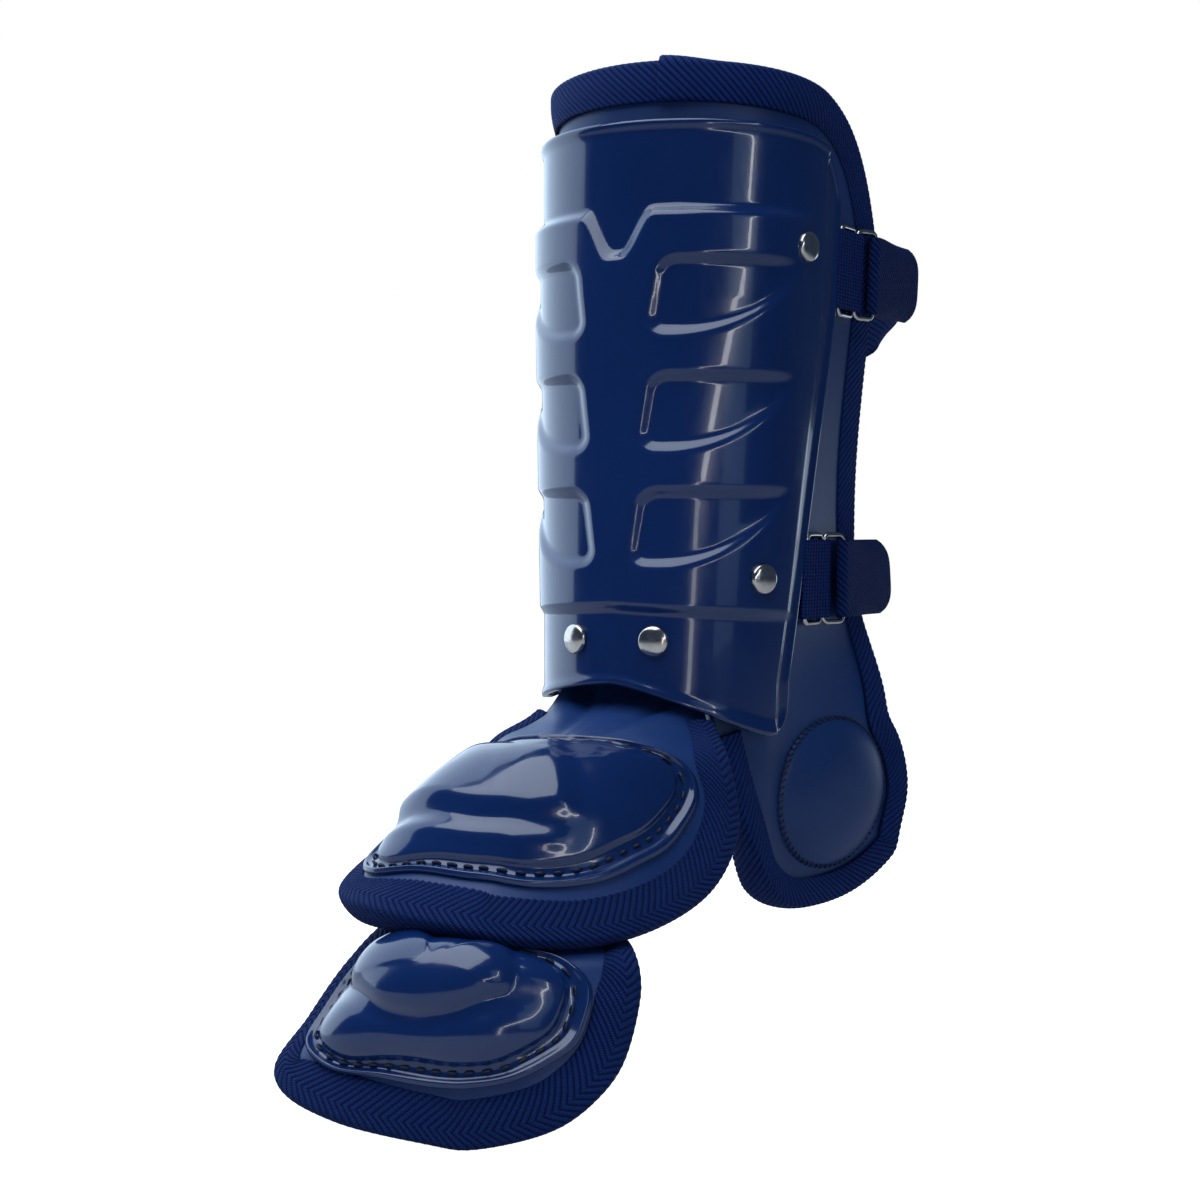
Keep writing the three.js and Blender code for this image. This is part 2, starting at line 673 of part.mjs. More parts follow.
// Webbing: a band of even thickness along a line seen from above, laid out at both its edges.
function band(name, lineAt, thickness, height) {
  const sheet = (level, side) => {
    const line = lineAt(level);
    return line.map(([x, y], k) => {
      const [px, py] = line[Math.max(0, k - 1)];
      const [nx, ny] = line[Math.min(line.length - 1, k + 1)];
      const out = side * thickness / 2 / Math.hypot(nx - px, ny - py);
      return [x + (ny - py) * out, y + (px - nx) * out, level];
    });
  };
  const [low, high] = [height - webWidth / 2, height + webWidth / 2];
  const top = [...sheet(high, 1), ...sheet(high, -1)];
  const count = top.length / 2;
  const cells = steps(count - 2).map((_, k) => [k, k + 1, count + k + 1, count + k]);
  add(wall(name, 'web', top, [...sheet(low, 1), ...sheet(low, -1)], cells));
}

// A half turn round a bar, from the inner lay to the outer lay, in side and lift.
function turn(side, lift, radius, from, to) {
  return steps(6).map((k) => {
    const angle = mix(from, to, k) * Math.PI / 180;
    return [side + radius * Math.sin(angle), lift - radius * Math.cos(angle)];
  });
}

const lay = wire / 2 + gap + webThickness / 2;
const barLift = gap + webThickness + gap + wire / 2;

function rectangleRing(name, height, near, far, climb) {
  const tall = ringHeight / 2;
  const corners = [[near, -tall], [far, -tall], [far, tall], [near, tall]];
  const liftAt = (s) => barLift + climb * (s - near) / (far - near);
  const sides = 6;
  const rows = [];
  corners.forEach(([s, dz], k) => {
    const [ps, pz] = corners[(k + 3) % 4];
    const [ns, nz] = corners[(k + 1) % 4];
    const cut = (a, b) => Math.min(1, 2.2 / Math.hypot(...a.map((v, i) => v - b[i])));
    for (const [q, qz] of [[ps, pz], [ns, nz]]) {
      const c = cut([s, dz], [q, qz]);
      rows.push([mix(s, q, c), mix(dz, qz, c)]);
    }
  });
  const at = ([s, dz], d, out) => shin(s + d[0], height + dz + d[1], liftAt(s) + out);
  add(sweep(name, 'metal', rows.map((row, k) => {
    const before = rows[(k + rows.length - 1) % rows.length];
    const after = rows[(k + 1) % rows.length];
    const a = [after[0] - before[0], after[1] - before[1]];
    const length = Math.hypot(...a);
    const side = [a[1] / length, -a[0] / length];
    return Array.from({ length: sides }, (_, j) => {
      const angle = j / sides * Math.PI * 2;
      const r = wire / 2;
      return at(row, side.map((v) => v * r * Math.cos(angle)), r * Math.sin(angle));
    });
  }), true));
}

function strapSet(name, height, keeperIn, back) {
  const start = padReach(height + webWidth / 2) - keeperIn;
  const near = start + keeperLength - lay;
  const far = near + ringWidth;
  const inner = start + 9;
  const lay0 = gap + webThickness / 2;
  const flat = (points, level) => points.map(([s, t]) => shin(s, level, t).slice(0, 2));
  rectangleRing(`${name}_ring_inner`, height, inner, near - wire - gap * 2, 0);
  rectangleRing(`${name}_ring_outer`, height, near, far, ringRise);
  band(`${name}_keeper`, (level) => flat([
    ...steps(4).map((k) => [mix(start - 6, near, k), lay0]),
    ...turn(near, barLift, lay, 20, 160),
    ...steps(3).map((k) => [mix(near, start + 3, k), barLift + lay]),
  ], level), webThickness, height);
  // The strap: tail outside, round the outer ring's bar, on round the leg, and sewn down beyond.
  const lift = barLift + ringRise;
  const edge = padEdge(height - webWidth / 2) + 5;
  const cornerSide = shin(edge, height - webWidth / 2, lift - lay)[0];
  const loop = steps(5).map((k) => {
    const angle = k * Math.PI / 2;
    return [cornerSide - loopCorner + loopCorner * Math.cos(angle),
      back - loopCorner + loopCorner * Math.sin(angle)];
  });
  const mirrored = (points) => points.map(([x, y]) => [-x, y]).reverse();
  band(`${name}_strap`, (level) => {
    const tail = [0.2, 0.5, 0.8, 1].map((k) => {
      const s = far + tailLength * k;
      const [x, y] = shin(Math.min(s, edge), level, lift + lay);
      return [x, y + Math.max(0, s - edge)];
    }).reverse();
    const round = flat(turn(far, lift, lay, -160, -20), level);
    const inside = flat([[mix(far, edge, 0.5), lift - lay], [edge, lift - lay]], level);
    const sewn = [[-edge, lift - lay], [4 - edge + tapeBand, lift - lay], [12 - edge + tapeBand, lay0],
      [-start, lay0], [6 - start, lay0]];
    return [...tail, ...round, ...inside, ...loop, ...mirrored(loop), ...flat(sewn, level)];
  }, webThickness, height);
}
strapSet('upper', upperStrapHeight, upperKeeperIn, upperLoopBack);
strapSet('lower', lowerStrapHeight, lowerKeeperIn, lowerLoopBack);

export default group;
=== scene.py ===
import copy
import math
import bmesh
import bpy
import numpy as np
from mathutils import Matrix, Vector


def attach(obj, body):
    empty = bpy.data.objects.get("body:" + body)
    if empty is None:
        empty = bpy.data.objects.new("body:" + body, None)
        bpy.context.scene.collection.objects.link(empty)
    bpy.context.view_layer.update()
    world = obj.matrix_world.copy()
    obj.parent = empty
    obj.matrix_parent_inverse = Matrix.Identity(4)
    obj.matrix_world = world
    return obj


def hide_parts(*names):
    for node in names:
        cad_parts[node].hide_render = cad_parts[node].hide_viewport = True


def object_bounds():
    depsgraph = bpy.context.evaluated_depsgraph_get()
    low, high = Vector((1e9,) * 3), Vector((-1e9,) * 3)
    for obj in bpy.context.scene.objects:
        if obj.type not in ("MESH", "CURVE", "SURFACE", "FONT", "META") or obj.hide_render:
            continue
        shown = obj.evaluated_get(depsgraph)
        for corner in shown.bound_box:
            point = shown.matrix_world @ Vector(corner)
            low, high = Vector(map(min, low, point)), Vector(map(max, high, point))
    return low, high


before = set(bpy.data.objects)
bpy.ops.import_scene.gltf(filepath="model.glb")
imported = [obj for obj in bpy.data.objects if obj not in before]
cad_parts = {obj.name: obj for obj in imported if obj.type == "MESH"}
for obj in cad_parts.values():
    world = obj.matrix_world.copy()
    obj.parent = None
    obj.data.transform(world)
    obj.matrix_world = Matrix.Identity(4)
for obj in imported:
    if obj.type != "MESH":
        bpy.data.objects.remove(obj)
cad_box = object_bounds()

# Camera. It stands in front of the guard, a little towards the ankle wing, and just above
# the middle of its height, so the front of the shell and the wing both face it.
camera_lens = bpy.data.cameras.new("camera")
camera_lens.lens = 60.67
camera = bpy.data.objects.new("camera", camera_lens)
camera.location = (0.39307, -0.75472, 0.006)
camera.rotation_euler = (math.radians(88.019), 0, math.radians(30.2))
bpy.context.scene.collection.objects.link(camera)
bpy.context.scene.camera = camera
bpy.context.scene.view_settings.view_transform = "Standard"

# Shin wrap. The pad, its tape, the shell and the straps all follow one U that goes round the
# shin: a half circle in front and straight sides. Sizes are in millimetres and heights count
# up from the lowest edge of the toe guard.
mount_height = 200
ankle_level, calf_level = 138, 393
ankle_radius, calf_radius = 47.5, 57.5
ankle_front, calf_front = 65.5, 56.5
wing_flare, wing_flare_top, wing_flare_fade = 0.26, 190, 65


def smooth(x):
    x = np.clip(x, 0, 1)
    return x * x * (3 - 2 * x)


def mix(a, b, k):
    return a + (b - a) * k


def unit(v):
    """The vectors, each brought to a length of one."""
    return v / np.linalg.norm(v, axis=-1, keepdims=True)


def run_along(line):
    """How far along the line each of its points lies."""
    return np.concatenate([[0], np.cumsum(np.linalg.norm(np.diff(line, axis=0), axis=1))])


def wrap(s, z, t):
    """Points s round the shin from its front, z up and t out from the pad's face, in metres."""
    s, z, t = np.broadcast_arrays(*(np.asarray(v, float) for v in (s, z, t)))
    level = (z - ankle_level) / (calf_level - ankle_level)
    radius = mix(ankle_radius, calf_radius, level)
    centre = radius - mix(ankle_front, calf_front, level)
    quarter = radius * math.pi / 2
    angle = np.clip(s / radius, -math.pi / 2, math.pi / 2)
    past = np.maximum(np.abs(s) - quarter, 0)
    fade = np.where(s > 0, smooth((wing_flare_top - z) / wing_flare_fade), 0)
    flare = wing_flare * (np.hypot(past, 15) - 15) * fade
    x = (radius + t) * np.sin(angle) + np.sign(s) * flare
    y = centre - (radius + t) * np.cos(angle) * (past == 0) + past
    return np.stack([x, y, z - mount_height], -1) / 1000


# Shin pad. Foam faced with smooth navy coated leather and lined with knitted mesh, with the
# ankle wing hanging from its lower edge on one side.
pad_thickness, pad_top, pad_bottom, pad_half_width = 8, 387, 160, 145
pad_waist, pad_waist_height, pad_waist_reach = 11, 228, 105
pad_top_round, pad_top_bow = 48, 12
pad_arch, pad_arch_from, pad_arch_run, pad_far_drop = 26, 0.13, 0.24, 6
wing_bottom, wing_corner_rise, wing_lowest = 52.5, 16, 0.4
wing_front_lean, wing_front, wing_back = 28, 37, 161
pad_columns, pad_rows, wing_rows = 120, 76, 30


def pad_edge(z):
    from_waist = np.abs(z - pad_waist_height) / pad_waist_reach
    return pad_half_width - pad_waist * smooth(1 - from_waist)


def pad_rim(side):
    """The height of the pad's top edge, by the share of the way from the front to its side."""
    return pad_top - pad_top_round * side ** 7 - pad_top_bow * side * side


def pad_place(u, v):
    u, v = np.broadcast_arrays(np.asarray(u, float), np.asarray(v, float))
    side = np.abs(u)
    low = pad_bottom - pad_far_drop * smooth((-u - 0.25) / 0.4)
    arch = np.clip((side - pad_arch_from) / pad_arch_run, 0, 1) * np.where(u > 0, 1, 0.6)
    low = low - pad_arch * arch
    z = mix(low, pad_rim(side), v)
    return np.stack([u * pad_edge(z), z], -1)


pad_split = round((wing_front / pad_half_width + 1) / 2 * pad_columns)


def wing_place(share, v):
    """share runs from the wing's front edge to its back, v from the pad's lower edge down."""
    share, v = np.broadcast_arrays(np.asarray(share, float), np.asarray(v, float))
    u = mix(pad_split / pad_columns * 2 - 1, 1, share)
    head = pad_place(u, 0)
    front = wing_front + wing_front_lean * v ** 1.7
    corner = pad_edge(pad_bottom)
    back = corner + (wing_back - corner) * np.sin(np.clip(v / 0.62, 0, 1) * math.pi / 2)
    back = back - 6 * smooth((v - 0.6) / 0.4)
    reach = np.where(share < wing_lowest, 1 - share / wing_lowest,
                     (share - wing_lowest) / (1 - wing_lowest))
    low = wing_bottom + wing_corner_rise * reach ** 2.4
    z = mix(head[..., 1], low, v)
    return np.stack([mix(head[..., 0], mix(front, back, share), smooth(v * 4)), z], -1)


def new_mesh(name, points, faces, material, lay=None):
    """A smooth-shaded piece; lay holds each point's place on the flat cloth or sheet."""
    mesh = bpy.data.meshes.new(name)
    mesh.from_pydata(np.asarray(points).tolist(), [], faces)
    mesh.materials.append(material)
    mesh.shade_smooth()
    if lay is not None:
        stored = mesh.attributes.new("lay", "FLOAT_VECTOR", "POINT")
        stored.data.foreach_set("vector", np.asarray(lay, np.float32).ravel())
    mesh.validate()
    piece = bpy.data.objects.new(name, mesh)
    bpy.context.scene.collection.objects.link(piece)
    return piece


def turn_out(piece):
    """Turns the faces of a closed piece to face out."""
    shape = bmesh.new()
    shape.from_mesh(piece.data)
    bmesh.ops.recalc_face_normals(shape, faces=shape.faces)
    shape.to_mesh(piece.data)
    shape.free()


def fit(piece, slot, *nodes):
    """The piece rides on the guard and stands for its CAD nodes, which are hidden."""
    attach(piece, "root")
    if nodes:
        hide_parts(*nodes)


def two_skins(name, front, back, cells, material, lay):
    """A closed pad from its front and back points, which share one set of cells."""
    count = len(front)
    faces = [tuple(cell) for cell in cells]
    faces += [tuple(i + count for i in reversed(cell)) for cell in cells]
    edges = {}
    for cell in cells:
        for a, b in zip(cell, cell[1:] + cell[:1]):
            if (b, a) in edges:
                del edges[(b, a)]
            else:
                edges[(a, b)] = True
    faces += [(b, a, a + count, b + count) for a, b in edges]
    piece = new_mesh(name, np.vstack([front, back]), faces, material, np.vstack([lay, lay]))
    turn_out(piece)
    return piece


def value_node(tree, kind, name, values=(), **settings):
    """A node with its settings, and its inputs from numbers or from other nodes' sockets."""
    made = tree.nodes.new(kind)
    made.name = name
    for key, value in settings.items():
        setattr(made, key, value)
    for place, value in dict(values).items():
        socket = made.inputs[place]
        if isinstance(value, bpy.types.NodeSocket):
            tree.links.new(value, socket)
        else:
            socket.default_value = value
    return made


def maths(tree, operation, first, second=0.0):
    return value_node(tree, "ShaderNodeMath", operation.lower(), {0: first, 1: second},
                      operation=operation).outputs[0]


def effect(name, inputs, outputs):
    """An empty node group with named sockets, and its two end nodes."""
    group = bpy.data.node_groups.new(name, "ShaderNodeTree")
    for label, kind, start in inputs:
        socket = group.interface.new_socket(name=label, in_out="INPUT", socket_type=kind)
        if start is not None:
            socket.default_value = start
    for label, kind in outputs:
        group.interface.new_socket(name=label, in_out="OUTPUT", socket_type=kind)
    return group, group.nodes.new("NodeGroupInput"), group.nodes.new("NodeGroupOutput")


def leather_effect():
    """Fine pebbled grain, soft dents from handling, and slow changes of shade."""
    group, start, end = effect("leather_grain", [
        ("Grain Size", "NodeSocketFloat", 900.0), ("Dent Size", "NodeSocketFloat", 40.0)],
        [("Height", "NodeSocketFloat"), ("Shade", "NodeSocketFloat")])
    place = value_node(group, "ShaderNodeTexCoord", "place").outputs["Object"]
    cells = value_node(group, "ShaderNodeTexVoronoi", "pebbles",
                       {"Vector": place, "Scale": start.outputs["Grain Size"]}, feature="F1")
    dents = value_node(group, "ShaderNodeTexNoise", "dents",
                       {"Vector": place, "Scale": start.outputs["Dent Size"], "Detail": 3.0})
    slow = value_node(group, "ShaderNodeTexNoise", "slow_shade",
                      {"Vector": place, "Scale": 14.0, "Detail": 2.0})
    grain = maths(group, "MULTIPLY", cells.outputs["Distance"], 0.35)
    height = maths(group, "ADD", grain, dents.outputs["Fac"])
    group.links.new(height, end.inputs["Height"])
    group.links.new(slow.outputs["Fac"], end.inputs["Shade"])
    return group


leather_grain = leather_effect()


def colour_ramp(tree, name, factor, dark, light):
    ramp = value_node(tree, "ShaderNodeValToRGB", name, {"Fac": factor})
    ramp.color_ramp.elements[0].position = 0.3
    ramp.color_ramp.elements[1].position = 0.7
    ramp.color_ramp.elements[0].color = (*dark, 1)
    ramp.color_ramp.elements[1].color = (*light, 1)
    return ramp.outputs["Color"]


def new_material(name):
    material = bpy.data.materials.new(name)
    material.use_nodes = True
    tree = material.node_tree
    shader = tree.nodes["Principled BSDF"]
    return material, tree, shader


def place_group(tree, group, values=()):
    return value_node(tree, "ShaderNodeGroup", group.name, values, node_tree=group)


def bump(tree, shader, height, strength, distance):
    made = value_node(tree, "ShaderNodeBump", "relief",
                      {"Height": height, "Strength": strength, "Distance": distance})
    tree.links.new(made.outputs["Normal"], shader.inputs["Normal"])
    return made


def coated_leather(name, dark, light, roughness, dent_size):
    material, tree, shader = new_material(name)
    grain = place_group(tree, leather_grain, {"Grain Size": 1100.0, "Dent Size": dent_size})
    colour = colour_ramp(tree, "navy", grain.outputs["Shade"], dark, light)
    tree.links.new(colour, shader.inputs["Base Color"])
    rough = value_node(tree, "ShaderNodeMapRange", "sheen_change", {
        "Value": grain.outputs["Shade"], "To Min": roughness - 0.05, "To Max": roughness + 0.06})
    tree.links.new(rough.outputs["Result"], shader.inputs["Roughness"])
    bump(tree, shader, grain.outputs["Height"], 0.35, 0.00035)
    shader.inputs["Specular IOR Level"].default_value = 0.36
    return material


facing_leather = coated_leather(
    "facing_leather", (0.009, 0.034, 0.135), (0.014, 0.048, 0.185), 0.40, 45.0)


def lining_mesh():
    """Knitted spacer mesh: rows of small round holes in soft navy yarn, the holes painted near
    black as the shade inside them.
    """
    material, tree, shader = new_material("lining_mesh")
    lay = value_node(tree, "ShaderNodeAttribute", "lay", attribute_name="lay").outputs["Vector"]
    holes = value_node(tree, "ShaderNodeTexVoronoi", "holes", {
        "Vector": lay, "Scale": 420.0, "Randomness": 0.12}, feature="F1")
    yarn = value_node(tree, "ShaderNodeTexNoise", "yarn", {
        "Vector": lay, "Scale": 2600.0, "Detail": 2.0})
    open_share = value_node(tree, "ShaderNodeMapRange", "open_share", {
        "Value": holes.outputs["Distance"], "From Min": 0.12, "From Max": 0.34}).outputs["Result"]
    # Painted shade: the colour is near black in the holes and navy on the yarn around them.
    colour = colour_ramp(tree, "yarn_with_painted_shade", open_share,
                         (0.002, 0.004, 0.014), (0.013, 0.026, 0.085))
    tree.links.new(colour, shader.inputs["Base Color"])
    soft = maths(tree, "MULTIPLY", yarn.outputs["Fac"], 0.3)
    bump(tree, shader, maths(tree, "ADD", open_share, soft), 0.8, 0.0006)
    shader.inputs["Roughness"].default_value = 0.85
    shader.inputs["Sheen Weight"].default_value = 0.25
    shader.inputs["Sheen Roughness"].default_value = 0.5
    return material


lining = lining_mesh()


def pad_plan():
    """The flat pad's points and cells: the wrap itself, and the wing that hangs from it."""
    plan, cells, known = [], [], {}

    def at(key, place):
        if key not in known:
            known[key] = len(plan)
            plan.append(place)
        return known[key]

    main = pad_place(*np.meshgrid(np.linspace(-1, 1, pad_columns + 1),
                                  np.linspace(0, 1, pad_rows + 1)))
    width = pad_columns - pad_split
    wing = wing_place(*np.meshgrid(np.linspace(0, 1, width + 1),
                                   np.linspace(0, 1, wing_rows + 1)))
    for row in range(pad_rows):
        for column in range(pad_columns):
            cells.append([at((i, j), main[j, i]) for i, j in (
                (column, row), (column + 1, row), (column + 1, row + 1), (column, row + 1))])
    for row in range(wing_rows):
        for column in range(width):
            cells.append([at((i + pad_split, -j), wing[j, i]) for i, j in (
                (column, row + 1), (column + 1, row + 1), (column + 1, row), (column, row))])
    return np.array(plan), cells


pad_points, pad_cells = pad_plan()


def pad_crown(s, z):
    """The facing stands up a little between the tape and the shell, and is held down by both."""
    edge = np.clip((pad_edge(z) - np.abs(s)) / 16, 0, 1)
    middle = smooth((np.abs(s) - 60) / 30)
    return 1.1 * np.sin(edge * math.pi / 2) * middle * smooth((z - 120) / 60)


pad_lay = np.column_stack([pad_points, np.zeros(len(pad_points))]) / 1000
shin_pad = two_skins(
    "shin_pad_facing",
    wrap(pad_points[:, 0], pad_points[:, 1], pad_crown(pad_points[:, 0], pad_points[:, 1])),
    wrap(pad_points[:, 0], pad_points[:, 1], -pad_thickness),
    pad_cells, facing_leather, pad_lay)
shin_pad.data.materials.append(lining)
for face in shin_pad.data.polygons[len(pad_cells):2 * len(pad_cells)]:
    face.material_index = 1
fit(shin_pad, "pad_facing", "shin_pad")


# Binding tape of the shin pad. A wide slant-ribbed twill tape folded over the raw edge. It
# runs from the wing's front edge, up the back and over the top, down to the far side's lower
# edge, with a lap at the top in front.
tape_puff, tape_lip, tape_band, tape_band_low = 3.1, 1.25, 14, 10
tape_lower, tape_step, rib_pitch, rib_rise, chevron = 126, 0.5, 3.0, 0.42, 28.0
plain_twill, chevron_shift, cord_slant, bead_pitch = 100.0, 0.39, 1.05, 1.2
lap_side, lap_length, lap_rise, lap_above = 13.5, 26, 2.0, 340
band_low_to, band_change = wing_back * 0.85, 110


def even_line(points, step, soften=0.0, closed=False):
    """The line through the points again, at even steps, with its corners softened."""
    points = np.asarray(points, float)
    if closed:
        points = np.vstack([points, points[:1]])
    run = run_along(points)
    count = int(round(run[-1] / step))
    places = np.linspace(0, run[-1], count + 1)
    line = np.column_stack([np.interp(places, run, points[:, i]) for i in range(points.shape[1])])
    if soften:
        reach = int(3 * soften / step)
        weights = np.exp(-0.5 * (np.arange(-reach, reach + 1) * step / soften) ** 2)
        weights /= weights.sum()
        if closed:
            padded = np.vstack([line[-reach - 1:-1], line, line[1:reach + 1]])
        else:
            padded = np.vstack([2 * line[0] - line[reach:0:-1], line,
                                2 * line[-1] - line[-2:-reach - 2:-1]])
        line = np.column_stack([np.convolve(padded[:, i], weights, "valid")
                                for i in range(points.shape[1])])
    return line


def pad_outline():
    """From the wing's front edge, up the back, over the top and down the far side."""
    down = np.linspace(0, 1, 40)
    across = np.linspace(0, 1, 80)
    parts = [wing_place(0, down), wing_place(across, 1), wing_place(1, down[::-1]),
             pad_place(1, down), pad_place(-np.linspace(-1, 1, 160), 1),
             pad_place(-1, down[::-1]), pad_place(np.linspace(-1, -0.6, 30), 0)]
    line = np.vstack(parts)
    keep = np.arange(len(line)) > 39
    keep |= line[:, 1] < tape_lower
    line = line[keep]
    return line[np.concatenate([[True], np.linalg.norm(np.diff(line, axis=0), axis=1) > 1e-6])]


def tape_section(thickness, band):
    """The folded tape's section: d in from the pad's edge, t out from its face, and the way
    round it from the fold, all in millimetres. The last points are hidden against the foam."""
    face = np.linspace(0, 1, 15)
    out_d = band * (1 - face)
    out_t = tape_lip + (tape_puff - tape_lip) * np.sin(np.clip(face * 1.25, 0, 1) * math.pi / 2)
    turn = np.linspace(math.pi / 2, -math.pi / 2, 13)[1:-1]
    half = thickness / 2 + tape_puff
    fold_d = -2.3 * np.cos(turn)
    fold_t = -thickness / 2 + half * np.sin(turn)
    back_d = band * face
    back_t = -thickness - out_t[::-1]
    hidden = np.array([[band, -thickness - 0.2], [0.3, -thickness - 0.2], [0.3, 0.2], [band, 0.2]])
    seen = np.column_stack([np.concatenate([out_d, fold_d, back_d]),
                            np.concatenate([out_t, fold_t, back_t])])
    run = run_along(seen)
    way = run - run[-1] / 2
    section = np.vstack([seen, hidden])
    outward = np.zeros_like(section)
    tangent = unit(np.gradient(seen, axis=0))
    outward[:len(seen)] = np.column_stack([tangent[:, 1], -tangent[:, 0]])
    outward[:len(seen)] *= np.sign(outward[7, 1]) or 1
    return section, outward, np.concatenate([way, np.full(4, way[-1])])


def rope(along, way, turn):
    """The height of the twill's slanting cords, which turn back at every chevron line."""
    zigzag = np.abs((way + turn * chevron_shift) % turn - turn / 2)
    phase = (along + cord_slant * zigzag) / rib_pitch
    return np.abs(np.sin(math.pi * phase)) ** 0.7


def tube_cells(count, size, start=0):
    """The faces of a closed tube through count rings of size points, with flat ends."""
    cells = []
    for a in range(start, start + (count - 1) * size, size):
        b = a + size
        cells += [(a + j, a + (j + 1) % size, b + (j + 1) % size, b + j) for j in range(size)]
    last = start + (count - 1) * size
    return cells + [tuple(range(start, start + size))[::-1], tuple(range(last, last + size))]


def sweep(name, rows, material, lay):
    """A closed body through rows of one closed profile."""
    cells = tube_cells(*rows.shape[:2])
    piece = new_mesh(name, rows.reshape(-1, 3), cells, material, lay.reshape(-1, 3))
    turn_out(piece)
    return piece


def rope_effect():
    """Herringbone twill: slanting cords, each a row of small beads where the weft crosses."""
    group, start, end = effect("herringbone", [
        ("Lay", "NodeSocketVector", None), ("Cord Pitch", "NodeSocketFloat", 0.0029),
        ("Chevron", "NodeSocketFloat", 0.028), ("Bead Pitch", "NodeSocketFloat", 0.001),
        ("Slant", "NodeSocketFloat", cord_slant)],
        [("Height", "NodeSocketFloat"), ("Crown", "NodeSocketFloat"), ("Fuzz", "NodeSocketFloat")])
    parts = value_node(group, "ShaderNodeSeparateXYZ", "parts", {0: start.outputs["Lay"]})
    along, way = parts.outputs["X"], parts.outputs["Y"]
    offset = maths(group, "MULTIPLY", start.outputs["Chevron"], chevron_shift)
    half = maths(group, "MULTIPLY", start.outputs["Chevron"], 0.5)
    turned = value_node(group, "ShaderNodeMath", "turned", {
        0: maths(group, "ADD", way, offset), 1: start.outputs["Chevron"]},
        operation="FLOORED_MODULO").outputs[0]
    zigzag = maths(group, "ABSOLUTE", maths(group, "SUBTRACT", turned, half))
    slanted = maths(group, "ADD", along, maths(group, "MULTIPLY", zigzag, start.outputs["Slant"]))
    phase = maths(group, "DIVIDE", slanted, start.outputs["Cord Pitch"])
    wave = maths(group, "SINE", maths(group, "MULTIPLY", phase, math.pi))
    cord = maths(group, "POWER", maths(group, "ABSOLUTE", wave), 0.7)
    cross = maths(group, "SUBTRACT", zigzag, along)
    stagger = maths(group, "MULTIPLY", maths(group, "FLOOR", phase), 0.0004)
    shifted = maths(group, "ADD", cross, stagger)
    bead_phase = maths(group, "DIVIDE", shifted, start.outputs["Bead Pitch"])
    bead_wave = maths(group, "SINE", maths(group, "MULTIPLY", bead_phase, math.pi))
    bead = maths(group, "ABSOLUTE", bead_wave)
    fuzz = value_node(group, "ShaderNodeTexNoise", "fuzz", {
        "Vector": start.outputs["Lay"], "Scale": 3500.0, "Detail": 2.0}).outputs["Fac"]
    bead_share = maths(group, "ADD", maths(group, "MULTIPLY", bead, 0.45), 0.55)
    beaded = maths(group, "MULTIPLY", cord, bead_share)
    height = maths(group, "ADD", beaded, maths(group, "MULTIPLY", fuzz, 0.15))
    group.links.new(height, end.inputs["Height"])
    # Crown is the beaded cords' height; the woven colour turns it into painted shade in the
    # grooves.
    group.links.new(beaded, end.inputs["Crown"])
    group.links.new(fuzz, end.inputs["Fuzz"])
    return group


herringbone = rope_effect()


def woven(name, dark, light, pitches, slant, distance):
    """Woven yarn, its colour darker in the grooves between cords and beads as painted shade;
    pitches are those of its cords, its chevrons and its beads, in millimetres.
    """
    material, tree, shader = new_material(name)
    lay = value_node(tree, "ShaderNodeAttribute", "lay", attribute_name="lay").outputs["Vector"]
    cord, turn, bead = (pitch / 1000 for pitch in pitches)
    weave = place_group(tree, herringbone, {
        "Lay": lay, "Cord Pitch": cord, "Chevron": turn, "Bead Pitch": bead, "Slant": slant})
    # Painted shade: the colour follows the cords' crowns and beads, darkest in the grooves, with a
    # little random fuzz.
    shade = maths(tree, "ADD", maths(tree, "MULTIPLY", weave.outputs["Crown"], 0.8),
                  maths(tree, "MULTIPLY", weave.outputs["Fuzz"], 0.2))
    colour = colour_ramp(tree, "yarn_with_painted_shade", shade, dark, light)
    tree.links.new(colour, shader.inputs["Base Color"])
    bump(tree, shader, weave.outputs["Height"], 1.0, distance)
    shader.inputs["Roughness"].default_value = 0.7
    shader.inputs["Specular IOR Level"].default_value = 0.12
    shader.inputs["Sheen Weight"].default_value = 0.02
    shader.inputs["Sheen Roughness"].default_value = 0.4
    return material


# The tapes' dark colour ends are painted shade for the grooves between cords; the light ends are
# the crowns.
plain_binding = woven("plain_binding", (0.0008, 0.0055, 0.038), (0.0060, 0.034, 0.190),
                      (rib_pitch, plain_twill, bead_pitch), cord_slant, 0.0007)
chevron_binding = woven("chevron_binding", (0.0012, 0.0070, 0.046), (0.0060, 0.028, 0.150),
                        (rib_pitch, chevron, bead_pitch), cord_slant, 0.0006)


def tape_rows(line, thickness, bands, place, turn, lift=None):
    """Rows of the tape's section along an edge line, with its cords standing up on it."""
    run = run_along(line)
    rows, lays = [], []
    for k, along in enumerate(run):
        section, outward, way = tape_section(thickness, bands[k])
        rise = rib_rise * rope(along, way, turn)
        if lift is not None:
            rise = rise + lift[k] * (np.abs(way) < way.max() * 0.98)
        shifted = section + outward * rise[:, None]
        rows.append(place(k, shifted[:, 0], shifted[:, 1]))
        lays.append(np.column_stack([np.full(len(way), along), way, np.zeros(len(way))]) / 1000)
    return np.array(rows), np.array(lays)


